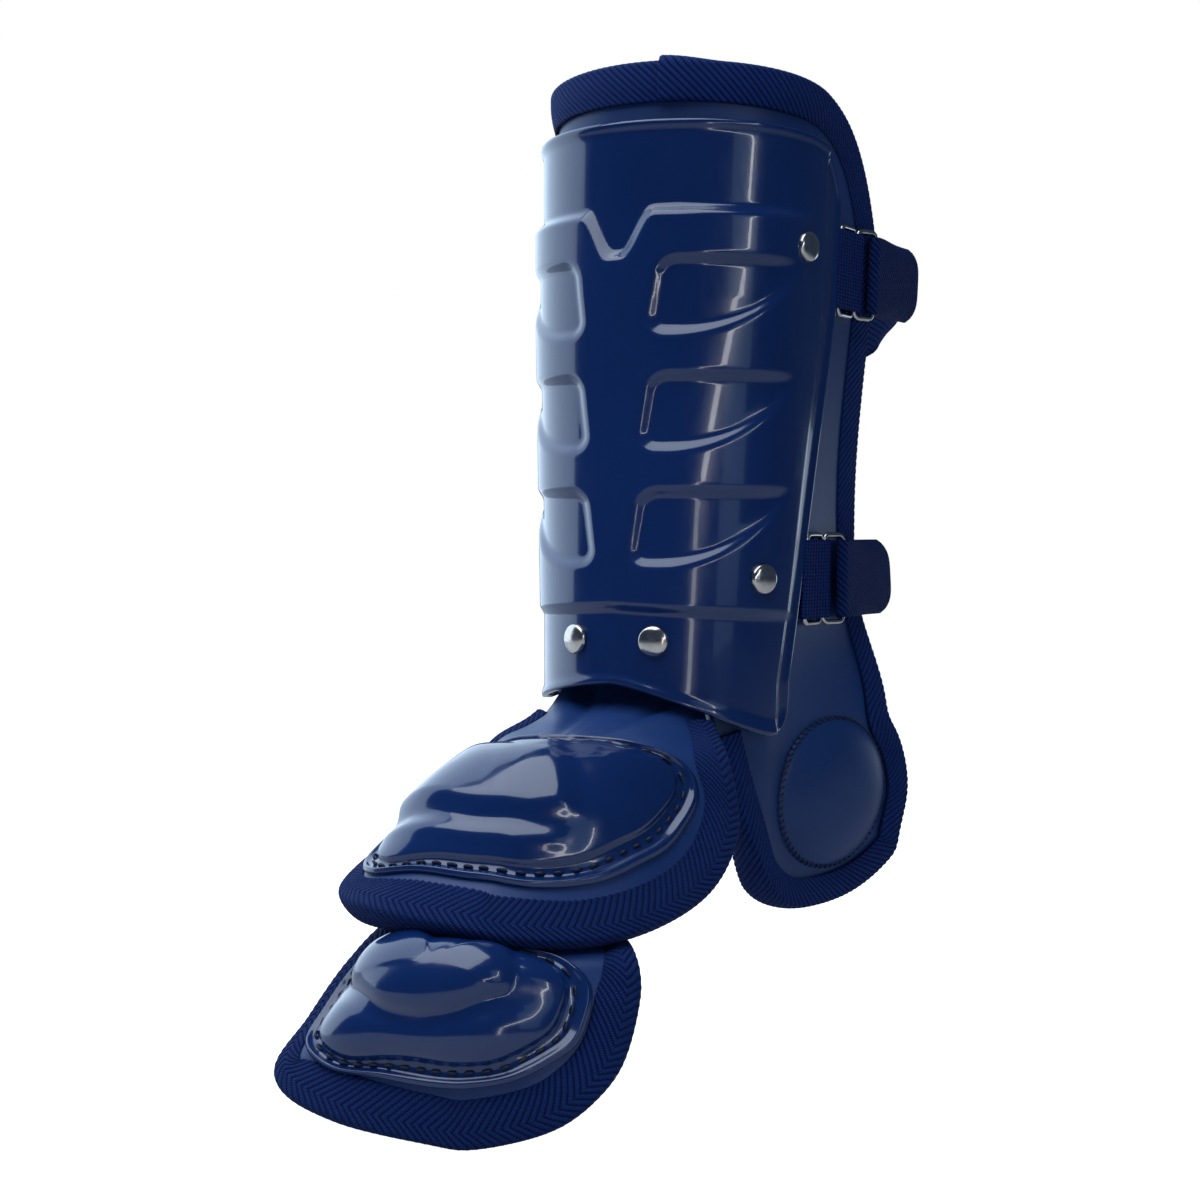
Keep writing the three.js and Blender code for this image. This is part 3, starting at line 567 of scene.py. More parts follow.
edge_line = even_line(pad_outline(), tape_step, soften=3.0)
edge_tangent = unit(np.gradient(edge_line, axis=0))
edge_inward = np.column_stack([-edge_tangent[:, 1], edge_tangent[:, 0]])
edge_bands = mix(tape_band_low, tape_band, smooth((edge_line[:, 1] - band_low_to) / band_change))
lap_place = lap_side - edge_line[:, 0]
edge_lift = lap_rise * smooth(1 + lap_place / lap_length) * (lap_place <= 0)
edge_lift = np.where(edge_line[:, 1] > lap_above, edge_lift, 0)
binding_rows, binding_lay = tape_rows(
    edge_line, pad_thickness, edge_bands,
    lambda k, d, t: wrap(edge_line[k, 0] + edge_inward[k, 0] * d,
                         edge_line[k, 1] + edge_inward[k, 1] * d, t), plain_twill, edge_lift)
shin_binding = sweep("shin_binding_tape", binding_rows, plain_binding, binding_lay)
fit(shin_binding, "binding_tape", "shin_binding")


# Shin shell. A glossy moulded plate with a turned-up rim, a raised field with a notch under
# its plain top, and three sunk windows on each side; it is riveted to the pad.
shell_wall, shell_standoff, shell_top, shell_bottom = 2, 2.3, 365, 146
shell_half_top, shell_half_low, shell_taper_top = 103, 60, 300
shell_arch, shell_arch_far, shell_top_fall = 21, 10, 7
flange_top, flange_low, body_rise, relief_rise, window_depth = 16, 8, 2, 3.6, 2.2
relief_top, relief_bottom, window_height, window_pitch, first_window = 330, 176, 28, 45, 297
window_inner, window_fade, window_corner, window_bevel = (14.5, 12, 9), (44, 36, 30), 6.0, 5.4
notch_depth, notch_flat, notch_half = 17, 1.5, 12.5
rim_rise, rim_width, lip_rise = 1.1, 2.2, 0.18
field_half, field_fade, shell_end_round = 52, 28, 24
shell_corner, shell_columns, shell_rows = 11, 190, 250


def shell_half(z):
    taper = np.clip((shell_taper_top - z) / (shell_taper_top - shell_bottom), 0, 1)
    return mix(shell_half_top, shell_half_low + 13, taper)


def crease_side(z):
    share = np.clip((z - shell_bottom) / (shell_top - shell_bottom), 0, 1)
    return shell_half(np.maximum(z, shell_bottom - 10)) - mix(flange_low, flange_top, share)


def window_share(side, z):
    """The three windows, with rounded corners; their lower lines rise outward and fade first."""
    share = np.zeros_like(side)
    for i, (inner_side, fade_start) in enumerate(zip(window_inner, window_fade)):
        middle = first_window - i * window_pitch
        inner = inner_side + (z - middle) * 0.14 - side
        top = z - (middle + window_height / 2)
        foot = middle - window_height / 2 + 0.011 * np.maximum(side - inner_side - 8, 0) ** 2 - z
        past = [np.maximum(v + window_corner, 0) for v in (inner, top, foot)]
        outside = np.sqrt(sum(v * v for v in past)) - window_corner
        inside = np.minimum(np.maximum(np.maximum(inner, top), foot) + window_corner, 0)
        depth = smooth(0.5 - (outside + inside) / window_bevel)
        low = np.clip((middle - z) / window_height + 0.5, 0, 1)
        fade = 1 - smooth((side - mix(58, fade_start, low)) / 24)
        share = np.maximum(share, depth * fade)
    return share


def shell_offset(s, z):
    """How far the shell's inner face stands off the pad: its body, raised field and windows."""
    side = np.abs(s)
    body = smooth((crease_side(z) - side) / 4 + 0.5)
    turn = math.pi * np.clip((side - notch_flat) / notch_half, 0, 1)
    notch = notch_depth * (0.5 + 0.5 * np.cos(turn))
    lean = notch_depth * math.pi / (2 * notch_half) * np.sin(turn)
    top = smooth((relief_top - notch - z) / (5.2 * np.sqrt(1 + lean ** 2)) + 0.5)
    foot = smooth((z - relief_bottom + side * 0.06) / 4.5 + 0.5)
    fade = 1 - smooth((side - field_half) / field_fade)
    height = relief_rise * mix(0.5, 1, np.clip((z - relief_bottom) / 120, 0, 1))
    sunk = window_share(side, z)
    lip = lip_rise * 4 * sunk * (1 - sunk)
    return (shell_standoff + body_rise * body
            + top * foot * fade * (height - window_depth * sunk + lip))


def shell_grid():
    """The shell's grid on the flat, and how far each of its points stands off the pad."""
    u, v = np.meshgrid(np.linspace(-1, 1, shell_columns + 1), np.linspace(0, 1, shell_rows + 1))
    side = np.abs(u)
    top = shell_top - shell_top_fall * side ** 3 - shell_end_round * side ** 14
    arch = np.where(u > 0, shell_arch, shell_arch_far)
    low = shell_bottom - arch * smooth(side * 1.02) ** 0.8
    z = mix(low, top, v)
    corner = 1 - np.clip((z - shell_bottom + arch) / shell_corner, 0, 1)
    s = u * (shell_half(z) - shell_corner * (1 - np.sqrt(1 - corner ** 2)))
    lift = shell_offset(s, z)
    to_end = np.minimum(z - low, top - z)
    to_side = (1 - side) * shell_half(z)
    to_edge = np.minimum(to_end, to_side)
    rim = rim_rise * np.exp(-((to_edge - rim_width * 0.5) / rim_width) ** 2)
    return s, z, lift + rim


def plate(name, front, back, material, lay):
    """A closed plate from two grids of points."""
    rows, columns = front.shape[:2]
    index = np.arange(rows * columns).reshape(rows, columns)
    a, b = index[:-1, :-1].ravel(), index[:-1, 1:].ravel()
    c, d = index[1:, 1:].ravel(), index[1:, :-1].ravel()
    count = rows * columns
    faces = np.column_stack([a, b, c, d]).tolist()
    faces += (np.column_stack([d, c, b, a]) + count).tolist()
    ring = np.concatenate([index[0, :-1], index[:-1, -1], index[-1, :0:-1], index[:0:-1, 0]])
    after = np.roll(ring, -1)
    faces += np.column_stack([after, ring, ring + count, after + count]).tolist()
    flat_lay = lay.reshape(-1, 3)
    piece = new_mesh(name, np.vstack([front.reshape(-1, 3), back.reshape(-1, 3)]), faces,
                     material, np.vstack([flat_lay, flat_lay]))
    turn_out(piece)
    return piece


def moulded_effect():
    """What a mould and handling leave: slow waves in the gloss, faint scuffs and fine dust."""
    group, start, end = effect("moulded_gloss", [
        ("Wave Size", "NodeSocketFloat", 28.0), ("Scuff Size", "NodeSocketFloat", 160.0)],
        [("Wave", "NodeSocketFloat"), ("Scuff", "NodeSocketFloat"), ("Shade", "NodeSocketFloat")])
    place = value_node(group, "ShaderNodeTexCoord", "place").outputs["Object"]
    stretched = value_node(group, "ShaderNodeMapping", "stretched", {
        "Vector": place, "Scale": (1.0, 1.0, 0.35)}).outputs["Vector"]
    wave = value_node(group, "ShaderNodeTexNoise", "wave", {
        "Vector": stretched, "Scale": start.outputs["Wave Size"], "Detail": 1.0})
    scuff = value_node(group, "ShaderNodeTexNoise", "scuff", {
        "Vector": stretched, "Scale": start.outputs["Scuff Size"], "Detail": 6.0, "Roughness": 0.7})
    shade = value_node(group, "ShaderNodeTexNoise", "shade", {
        "Vector": place, "Scale": 9.0, "Detail": 2.0})
    for source, label in ((wave, "Wave"), (scuff, "Scuff"), (shade, "Shade")):
        group.links.new(source.outputs["Fac"], end.inputs[label])
    return group


moulded_gloss = moulded_effect()


def moulded_plastic(name, dark, light, roughness):
    material, tree, shader = new_material(name)
    gloss = place_group(tree, moulded_gloss, {"Wave Size": 26.0, "Scuff Size": 170.0})
    tree.links.new(colour_ramp(tree, "navy", gloss.outputs["Shade"], dark, light),
                   shader.inputs["Base Color"])
    rough = value_node(tree, "ShaderNodeMapRange", "scuffed", {
        "Value": gloss.outputs["Scuff"], "From Min": 0.35, "From Max": 0.8,
        "To Min": roughness, "To Max": roughness + 0.12})
    tree.links.new(rough.outputs["Result"], shader.inputs["Roughness"])
    bump(tree, shader, gloss.outputs["Wave"], 0.5, 0.0012)
    shader.inputs["IOR"].default_value = 1.5
    shader.inputs["Coat Weight"].default_value = 0.6
    shader.inputs["Coat Roughness"].default_value = 0.04
    return material


shell_plastic = moulded_plastic(
    "shell_plastic", (0.0033, 0.020, 0.100), (0.0050, 0.028, 0.135), 0.13)

shell_s, shell_z, shell_lift = shell_grid()
shin_shell = plate("shin_shell_plate", wrap(shell_s, shell_z, shell_lift + shell_wall),
                   wrap(shell_s, shell_z, shell_lift), shell_plastic,
                   np.stack([shell_s, shell_z, shell_lift], -1) / 1000)
fit(shin_shell, "moulded_shell", "shin_shell")


# Rivets. Six nickel-plated cap rivets hold the shell to the pad; each is a shallow dome
# turned down at its edge.
rivet_radius, rivet_height, rivet_around = 6, 2.4, 48
rivet_places = {"front": (15.6, -15.6, 163), "side": (54, -66, 187), "top": (73, -73, 318)}


def polished_nickel():
    material, tree, shader = new_material("polished_nickel")
    place = value_node(tree, "ShaderNodeTexCoord", "place").outputs["Object"]
    haze = value_node(tree, "ShaderNodeTexNoise", "haze", {
        "Vector": place, "Scale": 420.0, "Detail": 4.0}).outputs["Fac"]
    tree.links.new(colour_ramp(tree, "plating", haze, (0.62, 0.54, 0.46), (0.78, 0.72, 0.66)),
                   shader.inputs["Base Color"])
    rough = value_node(tree, "ShaderNodeMapRange", "polish", {
        "Value": haze, "To Min": 0.10, "To Max": 0.24})
    tree.links.new(rough.outputs["Result"], shader.inputs["Roughness"])
    bump(tree, shader, haze, 0.15, 0.0002)
    shader.inputs["Metallic"].default_value = 1
    return material


nickel = polished_nickel()


def rivet_cap(name, s, z, node):
    lift = float(shell_offset(np.array([float(s)]), np.array([float(z)]))[0]) + shell_wall
    foot = wrap(s, z, lift + 0.45)
    normal = unit(wrap(s, z, lift + 12) - foot)
    across = unit(np.cross([0, 0, 1], normal))
    up = np.cross(normal, across)
    profile = [(1.0, 0.02), (1.0, 0.18), (0.97, 0.34)]
    profile += [(0.97 * math.cos(a), 0.34 + 0.66 * math.sin(a))
                for a in np.linspace(0.12, 1.5, 9)]
    around = np.linspace(0, 2 * math.pi, rivet_around, endpoint=False)
    ring = np.cos(around)[:, None] * across + np.sin(around)[:, None] * up
    points = np.vstack([foot + (ring * share * rivet_radius + normal * rise * rivet_height) / 1000
                        for share, rise in profile])
    cap = new_mesh(name, points, tube_cells(len(profile), rivet_around), nickel)
    turn_out(cap)
    fit(cap, "nickel", node)


for label, (left, right, height) in rivet_places.items():
    rivet_cap(f"rivet_cap_{label}_left", left, height, f"rivet_{label}_left")
    rivet_cap(f"rivet_cap_{label}_right", right, height, f"rivet_{label}_right")


# Ankle cup. A hard cap under the same coated leather, domed over the ankle bone and sewn
# down round its edge with whip stitches.
cup_side, cup_height, cup_half_width, cup_half_height = 112.5, 97, 35, 31
cup_dome, cup_rim, cup_edge, cup_around, cup_stitches = 8.5, 1.2, 0.97, 120, 68
whip_lean = 0.035
whip_path = [(0.965, 1.2, 0), (0.98, 1.75, 0), (1.0, 1.3, whip_lean), (1.02, 0.35, whip_lean),
             (1.025, -0.3, whip_lean)]


def disc_cells(ring_count, around):
    """The cells of a disc: one middle point, then rings of points out from it."""
    cells = [[0, 1 + k, 1 + (k + 1) % around] for k in range(around)]
    for r in range(ring_count - 1):
        a, b = 1 + r * around, 1 + (r + 1) * around
        cells += [[a + k, b + k, b + (k + 1) % around, a + (k + 1) % around]
                  for k in range(around)]
    return cells


cup_shares = np.concatenate([np.linspace(0.04, 0.9, 22), np.linspace(0.92, 1, 7)])
cup_angles = np.linspace(0, 2 * math.pi, cup_around, endpoint=False)
cup_a = np.concatenate([[0], np.outer(cup_shares, np.cos(cup_angles)).ravel()]) * cup_half_width
cup_b = np.concatenate([[0], np.outer(cup_shares, np.sin(cup_angles)).ravel()]) * cup_half_height
cup_share = np.concatenate([[0], np.repeat(cup_shares, cup_around)])
cup_round = (1 - np.clip(cup_share / cup_edge, 0, 1) ** 2.6) ** 0.85
cup_lift = (0.35 + cup_rim * (1 - smooth((cup_share - cup_edge) / 0.03))
            + (cup_dome - cup_rim) * cup_round)
ankle_cup = two_skins(
    "ankle_cup_dome", wrap(cup_side + cup_a, cup_height + cup_b, cup_lift),
    wrap(cup_side + cup_a, cup_height + cup_b, 0.1),
    disc_cells(len(cup_shares), cup_around), facing_leather,
    np.column_stack([cup_a, cup_b, cup_share]) / 1000)
fit(ankle_cup, "ankle_cup", "ankle_cup")


def thread(name, loops, radius, material):
    """Stitches as short arched rolls of thread; each loop is a row of points in metres."""
    points, faces = [], []
    corners = 8
    for loop in loops:
        loop = np.asarray(loop)
        start = len(points)
        tangents = unit(np.gradient(loop, axis=0))
        guide = np.cross(tangents[len(loop) // 2], loop[0] - loop[len(loop) // 2])
        guide /= np.linalg.norm(guide) + 1e-12
        for k, (middle, tangent) in enumerate(zip(loop, tangents)):
            side = np.cross(tangent, guide)
            side /= np.linalg.norm(side) + 1e-12
            upright = np.cross(side, tangent)
            reach = radius * (0.55 if k in (0, len(loop) - 1) else 1.0)
            for c in range(corners):
                angle = c / corners * 2 * math.pi
                points.append(middle + reach * (math.cos(angle) * side + math.sin(angle) * upright))
        faces += tube_cells(len(loop), corners, start)
    piece = new_mesh(name, points, faces, material)
    turn_out(piece)
    return piece


def waxed_thread():
    material, tree, shader = new_material("waxed_thread")
    place = value_node(tree, "ShaderNodeTexCoord", "place").outputs["Object"]
    twist = value_node(tree, "ShaderNodeTexNoise", "twist", {
        "Vector": place, "Scale": 1800.0, "Detail": 2.0}).outputs["Fac"]
    colour = colour_ramp(tree, "thread_navy", twist, (0.001, 0.004, 0.018), (0.006, 0.016, 0.06))
    tree.links.new(colour, shader.inputs["Base Color"])
    bump(tree, shader, twist, 0.4, 0.0003)
    shader.inputs["Roughness"].default_value = 0.5
    return material


sewing_thread = waxed_thread()

whip_loops = []
for k in range(cup_stitches):
    angle = k / cup_stitches * 2 * math.pi
    whip_loops.append([wrap(cup_side + cup_half_width * share * math.cos(angle + lean),
                            cup_height + cup_half_height * share * math.sin(angle + lean), lift)
                       for share, lift, lean in whip_path])
cup_thread = thread("ankle_cup_stitches", whip_loops, 0.0003, sewing_thread)
fit(cup_thread, "binding_tape")


# Instep guard. A foam pad faced with the same leather, sewn in under the shell's lower edge,
# bound with the same tape, and carrying a stitched-on domed shell.
flap_thickness, flap_band, flap_band_far, flap_shell_gap, flap_shell_wall = 6, 15, 8, 1.2, 1.8
far_band_from, far_band_over = -0.025, 0.125
back_band_from, back_band_over, back_band_cut = 0.3, 0.075, 0.35
instep_middle, instep_height, instep_slope = 125, 118, 38
instep_half, instep_forward, instep_drop = 60, 72, 50
instep_tuck, instep_tuck_half, instep_tuck_gap, instep_dome = 8, 27, 5.2, 8
ease_step, ease_reach, ease_width, back_from, back_over = 0.5, 80, 26, 105, 25
instep_outline = [
    (0, 1, -0.14), (0.25, 0.95, -0.28), (0.6, 0.74, -0.57), (0.84, 0.42, -0.83),
    (0.95, 0.05, -1), (0.96, -0.3, -0.92), (0.84, -0.56, -0.64), (0.56, -0.89, -0.65),
    "near", "middle", "far",
    (-0.64, -0.88, -0.62), (-0.84, -0.56, -0.6), (-0.97, -0.25, -0.72), (-1.05, 0.15, -0.62),
    (-1.06, 0.55, -0.38), (-0.9, 0.88, -0.16), (-0.5, 1.01, -0.05)]
instep_profile = [(-1.2, -0.09), (-1.06, -0.34), (-0.88, -0.43), (-0.68, -0.36), (-0.43, -0.19),
                  (-0.17, -0.04), (0.26, 0.01), (0.75, -0.07), (1, -0.14)]


def closed_curve(points, count):
    """A smooth closed line through the points, at count even shares of them."""
    points = np.asarray(points, float)
    place = np.arange(count) / count * len(points)
    j = np.floor(place).astype(int)
    k = (place - j)[:, None]
    a, b, c, d = (points[(j + n) % len(points)] for n in (-1, 0, 1, 2))
    return 0.5 * (2 * b + (c - a) * k + (2 * a - 5 * b + 4 * c - d) * k * k
                  + (3 * b - a - 3 * c + d) * k ** 3)


def smooth_profile(table, place):
    """A smooth line through a table of places and heights."""
    table = np.asarray(table, float)
    x, y = table[:, 0], table[:, 1]
    j = np.clip(np.searchsorted(x, place, "left") - 1, 0, len(x) - 2)
    before, after = np.maximum(0, j - 1), np.minimum(len(x) - 1, j + 2)
    slope_p = (y[j + 1] - y[before]) / (x[j + 1] - x[before])
    slope_q = (y[after] - y[j]) / (x[after] - x[j])
    width = x[j + 1] - x[j]
    k = np.maximum(-0.5, (place - x[j]) / width)
    return (y[j] * (1 + 2 * k) * (1 - k) ** 2 + slope_p * width * k * (1 - k) ** 2
            + y[j + 1] * k * k * (3 - 2 * k) + slope_q * width * k * k * (k - 1))


class Flap:
    """The bent surface of a foot guard's pad, over across and forward from its middle."""

    def __init__(self, middle, height, slope, half, forward, drop, outline, profile, tucks):
        tilt = math.radians(slope)
        self.ahead = np.array([0, -math.cos(tilt), -math.sin(tilt)])
        self.up = np.array([0, -math.sin(tilt), math.cos(tilt)])
        self.origin = np.array([0, -middle, height - mount_height])
        self.profile = np.array(profile) * (forward, drop)
        size = (half, forward, drop)
        self.outline = closed_curve(
            [self.local(tucks[p]) if isinstance(p, str) else np.array(p) * size for p in outline],
            640)
        angle = np.arctan2(self.outline[:, 0], self.outline[:, 1])
        order = np.argsort(angle)
        self.angle = angle[order]
        w, self.edge_f, self.edge_n = self.outline[order].T
        self.reach = np.hypot(w, self.edge_f)

    def eased(self):
        """The same surface with its back corners evened out, for the stiff shell to follow."""
        face = copy.copy(self)
        face.angle = np.radians(np.arange(-180, 180, ease_step))
        weights = np.exp(-0.5 * (np.arange(-ease_reach, ease_reach + 1) / ease_width) ** 2)
        back = smooth((np.abs(face.angle) - math.radians(back_from)) / math.radians(back_over))
        for name in ("reach", "edge_f", "edge_n"):
            sharp = np.interp(face.angle, self.angle, getattr(self, name), period=2 * math.pi)
            soft = np.convolve(np.concatenate([sharp[-ease_reach:], sharp, sharp[:ease_reach]]),
                               weights / weights.sum(), "valid")
            setattr(face, name, mix(sharp, soft, back))
        return face

    def local(self, point):
        """A point of the scene as across, forward and up from the surface's middle."""
        v = np.asarray(point) * 1000 - self.origin
        return np.array([v[0], v @ self.ahead, v @ self.up])

    def base(self, w, f):
        """Points on the surface: the pad's profile, pulled to the height of its own edge."""
        angle = np.arctan2(w, f)
        reach, edge_f, edge_n = (np.interp(angle, self.angle, v, period=2 * math.pi)
                                 for v in (self.reach, self.edge_f, self.edge_n))
        share = np.hypot(w, f) / reach
        rise = (smooth_profile(self.profile, f)
                + (edge_n - smooth_profile(self.profile, edge_f)) * share ** 2)
        place = self.origin + f[..., None] * self.ahead + rise[..., None] * self.up
        place[..., 0] = w
        return place

    def normal(self, w, f):
        """The way off the surface at a point."""
        along = self.base(w, f + 1.5) - self.base(w, f - 1.5)
        across = self.base(w + 1.5, f) - self.base(w - 1.5, f)
        return unit(-np.cross(across, along))

    def place(self, w, f, t):
        """Points in metres, across, forward and off the pad's face in millimetres."""
        w, f, t = np.broadcast_arrays(*(np.asarray(v, float) for v in (w, f, t)))
        return (self.base(w, f) + self.normal(w, f) * t[..., None]) / 1000

    def edge(self, spot, inward, d, t):
        """Points d in from one spot of the edge, measured on the surface, and t off it."""
        w, f = spot[0] + inward[0] * 2.0, spot[1] + inward[1] * 2.0
        start = self.base(*np.array(spot)[:, None])[0]
        tangent = unit(self.base(np.array([w]), np.array([f]))[0] - start)
        lean = self.normal(np.array([spot[0] + inward[0]]), np.array([spot[1] + inward[1]]))[0]
        run = np.maximum(d, 0.01)
        wanted = run.copy()
        for _ in range(4):
            far = self.base(spot[0] + inward[0] * run, spot[1] + inward[1] * run)
            run = run * wanted / np.linalg.norm(far - start, axis=1)
        inside = self.place(spot[0] + inward[0] * run, spot[1] + inward[1] * run, t)
        outside = (start + d[:, None] * tangent + t[:, None] * lean) / 1000
        share = smooth(np.clip((d + 0.5) / 3, 0, 1))[:, None]
        return outside * (1 - share) + inside * share


tuck_place = {name: wrap(side * instep_tuck_half, pad_bottom + instep_tuck,
                         -pad_thickness - instep_tuck_gap)
              for name, side in (("near", 1), ("middle", 0), ("far", -1))}
instep = Flap(instep_middle, instep_height, instep_slope, instep_half, instep_forward,
              instep_drop, instep_outline, instep_profile, tuck_place)


def flap_pad(name, flap, crown, node):
    """The faced foam: crowned between the tape and the shell, and lined underneath."""
    shares = np.linspace(0.03, 1, 60)
    line = flap.outline[::4, :2]
    w = np.concatenate([[0], np.outer(shares, line[:, 0]).ravel()])
    f = np.concatenate([[0], np.outer(shares, line[:, 1]).ravel()])
    share = np.concatenate([[0], np.repeat(shares, len(line))])
    swell = crown * smooth((1 - share) / 0.16) * smooth((share - 0.35) / 0.3)
    cells = disc_cells(len(shares), len(line))
    pad = two_skins(name, flap.place(w, f, swell), flap.place(w, f, -flap_thickness), cells,
                    facing_leather, np.column_stack([w, f, share]) / 1000)
    pad.data.materials.append(lining)
    for face in pad.data.polygons[len(cells):2 * len(cells)]:
        face.material_index = 1
    fit(pad, "pad_facing", node)


def flap_tape(name, flap, first, last, node):
    """The tape round the flap's edge, from one share of its outline to another."""
    count = len(flap.outline)
    spots = flap.outline[np.arange(round(first * count), round(last * count) + 1) % count, :]
    line = even_line(spots, tape_step, soften=2.0)
    tangent = unit(np.gradient(line[:, :2], axis=0))
    inward = np.column_stack([-tangent[:, 1], tangent[:, 0]])
    if (inward[len(line) // 2] * line[len(line) // 2, :2]).sum() > 0:
        inward = -inward
    reach = np.linspace(first, last, len(line))
    bands = mix(flap_band, flap_band_far, smooth((far_band_from - reach) / far_band_over))
    bands = bands * (1 - back_band_cut * smooth((reach - back_band_from) / back_band_over))
    rows, lay = tape_rows(line, flap_thickness, bands,
                          lambda k, d, t: flap.edge(line[k, :2], inward[k], d, t), chevron)
    tape = sweep(name, rows, chevron_binding, lay)
    fit(tape, "binding_tape", node)


flap_pad("instep_pad_facing", instep, 1.6, "instep_pad")
flap_tape("instep_binding_tape", instep, -0.385, 0.385, "instep_binding")

# The foot guards' shells. Each has a rolled rim, a stitching channel just inside it, and a
# stepped dome; a heavy waxed thread lies in the channel.
instep_shell_outline = [
    (0, 0.75), (0.3, 0.67), (0.56, 0.48), (0.72, 0.18), (0.78, -0.1), (0.78, -0.3), (0.68, -0.38),
    (0.45, -0.33), (0.2, -0.28), (-0.05, -0.25), (-0.35, -0.24), (-0.64, -0.2), (-0.82, 0.04),
    (-0.9, 0.36), (-0.9, 0.64), (-0.72, 0.78), (-0.34, 0.77)]
channel_in, channel_wide, rolled_rim, seam_step = 4.6, 2.0, 1.3, 0.5
stitch_pitch, stitch_length = 6.0, 3.8
even_in, last_in, inner_reach, shell_lip = 10, 64, 0.985, 1.6


def rim_shape(inset):
    """The rise of the rim over the flat skirt, by the distance in from its edge."""
    roll = rolled_rim * np.exp(-((inset - 1.5) / 1.15) ** 2)
    channel = -0.5 * np.exp(-((inset - channel_in) / channel_wide) ** 2)
    return roll + channel


def dome_shape(inset, reach, dome, power):
    """The dome rises steeply from its crease, then rounds over to the middle."""
    crease = channel_in + 2.4
    share = np.clip((inset - crease) / np.maximum(reach - crease, 1), 0, 1)
    lip = shell_lip * smooth((inset - crease + 0.8) / 2.2)
    return lip + (dome - shell_lip) * (1 - (1 - share) ** power)


def flap_shell(name, flap, outline, half, length, centre, dome, power, relief, node):
    """The moulded shell, ring by ring in from its edge; gives its edge line and its middle."""
    line = closed_curve(outline, 300) * (half, length)
    middle = np.array(centre) * (half, length)
    inset = np.concatenate([np.linspace(0, even_in, 34), np.linspace(even_in + 0.8, last_in, 46)])
    out = line - middle
    reach = np.linalg.norm(out, axis=1)
    deep = inset[:, None]
    inner = even_in + (reach * inner_reach - even_in) * (deep - even_in) / (last_in - even_in)
    steps = np.where(deep <= even_in, deep, inner)
    share = 1 - steps / reach[None, :]
    w = middle[0] + out[None, :, 0] * share
    f = middle[1] + out[None, :, 1] * share
    rise = rim_shape(steps) + dome_shape(steps, reach[None, :], dome, power)
    rise = rise + relief(w, f, steps)
    top_w = np.concatenate([w.ravel(), [middle[0]]])
    top_f = np.concatenate([f.ravel(), [middle[1]]])
    lift = np.concatenate([rise.ravel(), [rise[-1].mean()]])
    around = len(line)
    cells = [[r * around + k, r * around + (k + 1) % around,
              (r + 1) * around + (k + 1) % around, (r + 1) * around + k]
             for r in range(len(inset) - 1) for k in range(around)]
    tip, ring = len(top_w) - 1, (len(inset) - 1) * around
    cells += [[ring + k, ring + (k + 1) % around, tip] for k in range(around)]
    base = flap_shell_gap + lift
    shell = two_skins(name, flap.place(top_w, top_f, base + flap_shell_wall),
                      flap.place(top_w, top_f, base), cells, shell_plastic,
                      np.column_stack([top_w, top_f, lift]) / 1000)
    fit(shell, "moulded_shell", node)
    return line, middle


def channel_stitches(name, flap, line, middle):
    """Running stitches in the channel, each dipping into its holes at both ends."""
    even = even_line(line - unit(line - middle) * channel_in, seam_step, closed=True)
    count = int(len(even) * seam_step / stitch_pitch)
    sag = np.array([-1.2, 0.1, 0.5, 0.6, 0.5, 0.1, -1.2])
    loops = []
    for k in range(count):
        start = k * len(even) / count
        steps = np.linspace(0, stitch_length / seam_step, len(sag))
        places = (start + steps).astype(int) % (len(even) - 1)
        loops.append(flap.place(even[places, 0], even[places, 1],
                                flap_shell_gap + flap_shell_wall - 0.2 + sag))
    seam = thread(name, loops, 0.00055, sewing_thread)
    fit(seam, "moulded_shell")


def ridge(distance, width):
    return np.exp(-(distance / width) ** 2)


def instep_relief(w, f, inset):
    """An upper tier that ends in a groove and a second ridge, and a valley down its near side."""
    inside = smooth((inset - 8) / 5)
    groove = 34.0 - 0.009 * np.maximum(w + 12, 0) ** 2
    valley = 17 + 0.5 * (f - 12)
    upper = smooth((groove - f) / 9) * smooth((valley - w) / 10 + 0.5)
    upper = upper * (1 + 0.9 * smooth((-w - 8) / 22))
    left = smooth((valley - w) / 11)
    cut = ridge(f - groove, 3.4) * left
    second = ridge(f - groove - 6.0, 3.2) * left
    dip = ridge(w - valley, 4.6) * smooth((f - 6) / 12) * smooth((48 - f) / 12)
    return inside * (2.4 * upper - 0.6 * cut + 0.6 * second - 0.35 * dip)


instep_line, instep_centre = flap_shell(
    "instep_shell_dome", instep, instep_shell_outline, instep_half, instep_forward,
    (-0.08, 0.24), instep_dome, 2.5, instep_relief, "instep_shell")
channel_stitches("instep_shell_stitches", instep, instep_line, instep_centre)


# Toe guard. The same make as the instep guard, hung from under it, with a knobbed shell.
toe_middle, toe_height, toe_slope = 179, 48.5, 52
toe_half, toe_forward, toe_drop, toe_dome = 58, 48, 37, 8.5
toe_shell_share, toe_tuck_half, toe_tuck_gap, toe_tuck_forward = 0.94, 14, 2.6, 28
toe_outline = [
    (0, 1, -0.54), (0.25, 0.95, -0.64), (0.62, 0.72, -0.76), (0.8, 0.45, -0.85),
    (0.88, 0.1, -0.93), (0.9, -0.35, -0.8), (0.83, -0.6, -0.72), (0.58, -0.86, -0.92),
    "near", "middle", "far",
    (-0.58, -0.86, -0.92), (-0.88, -0.62, -0.62), (-1.02, -0.2, -0.5), (-1.1, 0.32, -0.42),
    (-1.06, 0.84, -0.2), (-0.6, 1.02, -0.28)]
toe_profile = [(-1.2, -0.04), (-0.8, -0.1), (-0.46, -0.07), (0, 0), (0.42, -0.1), (1, -0.52)]
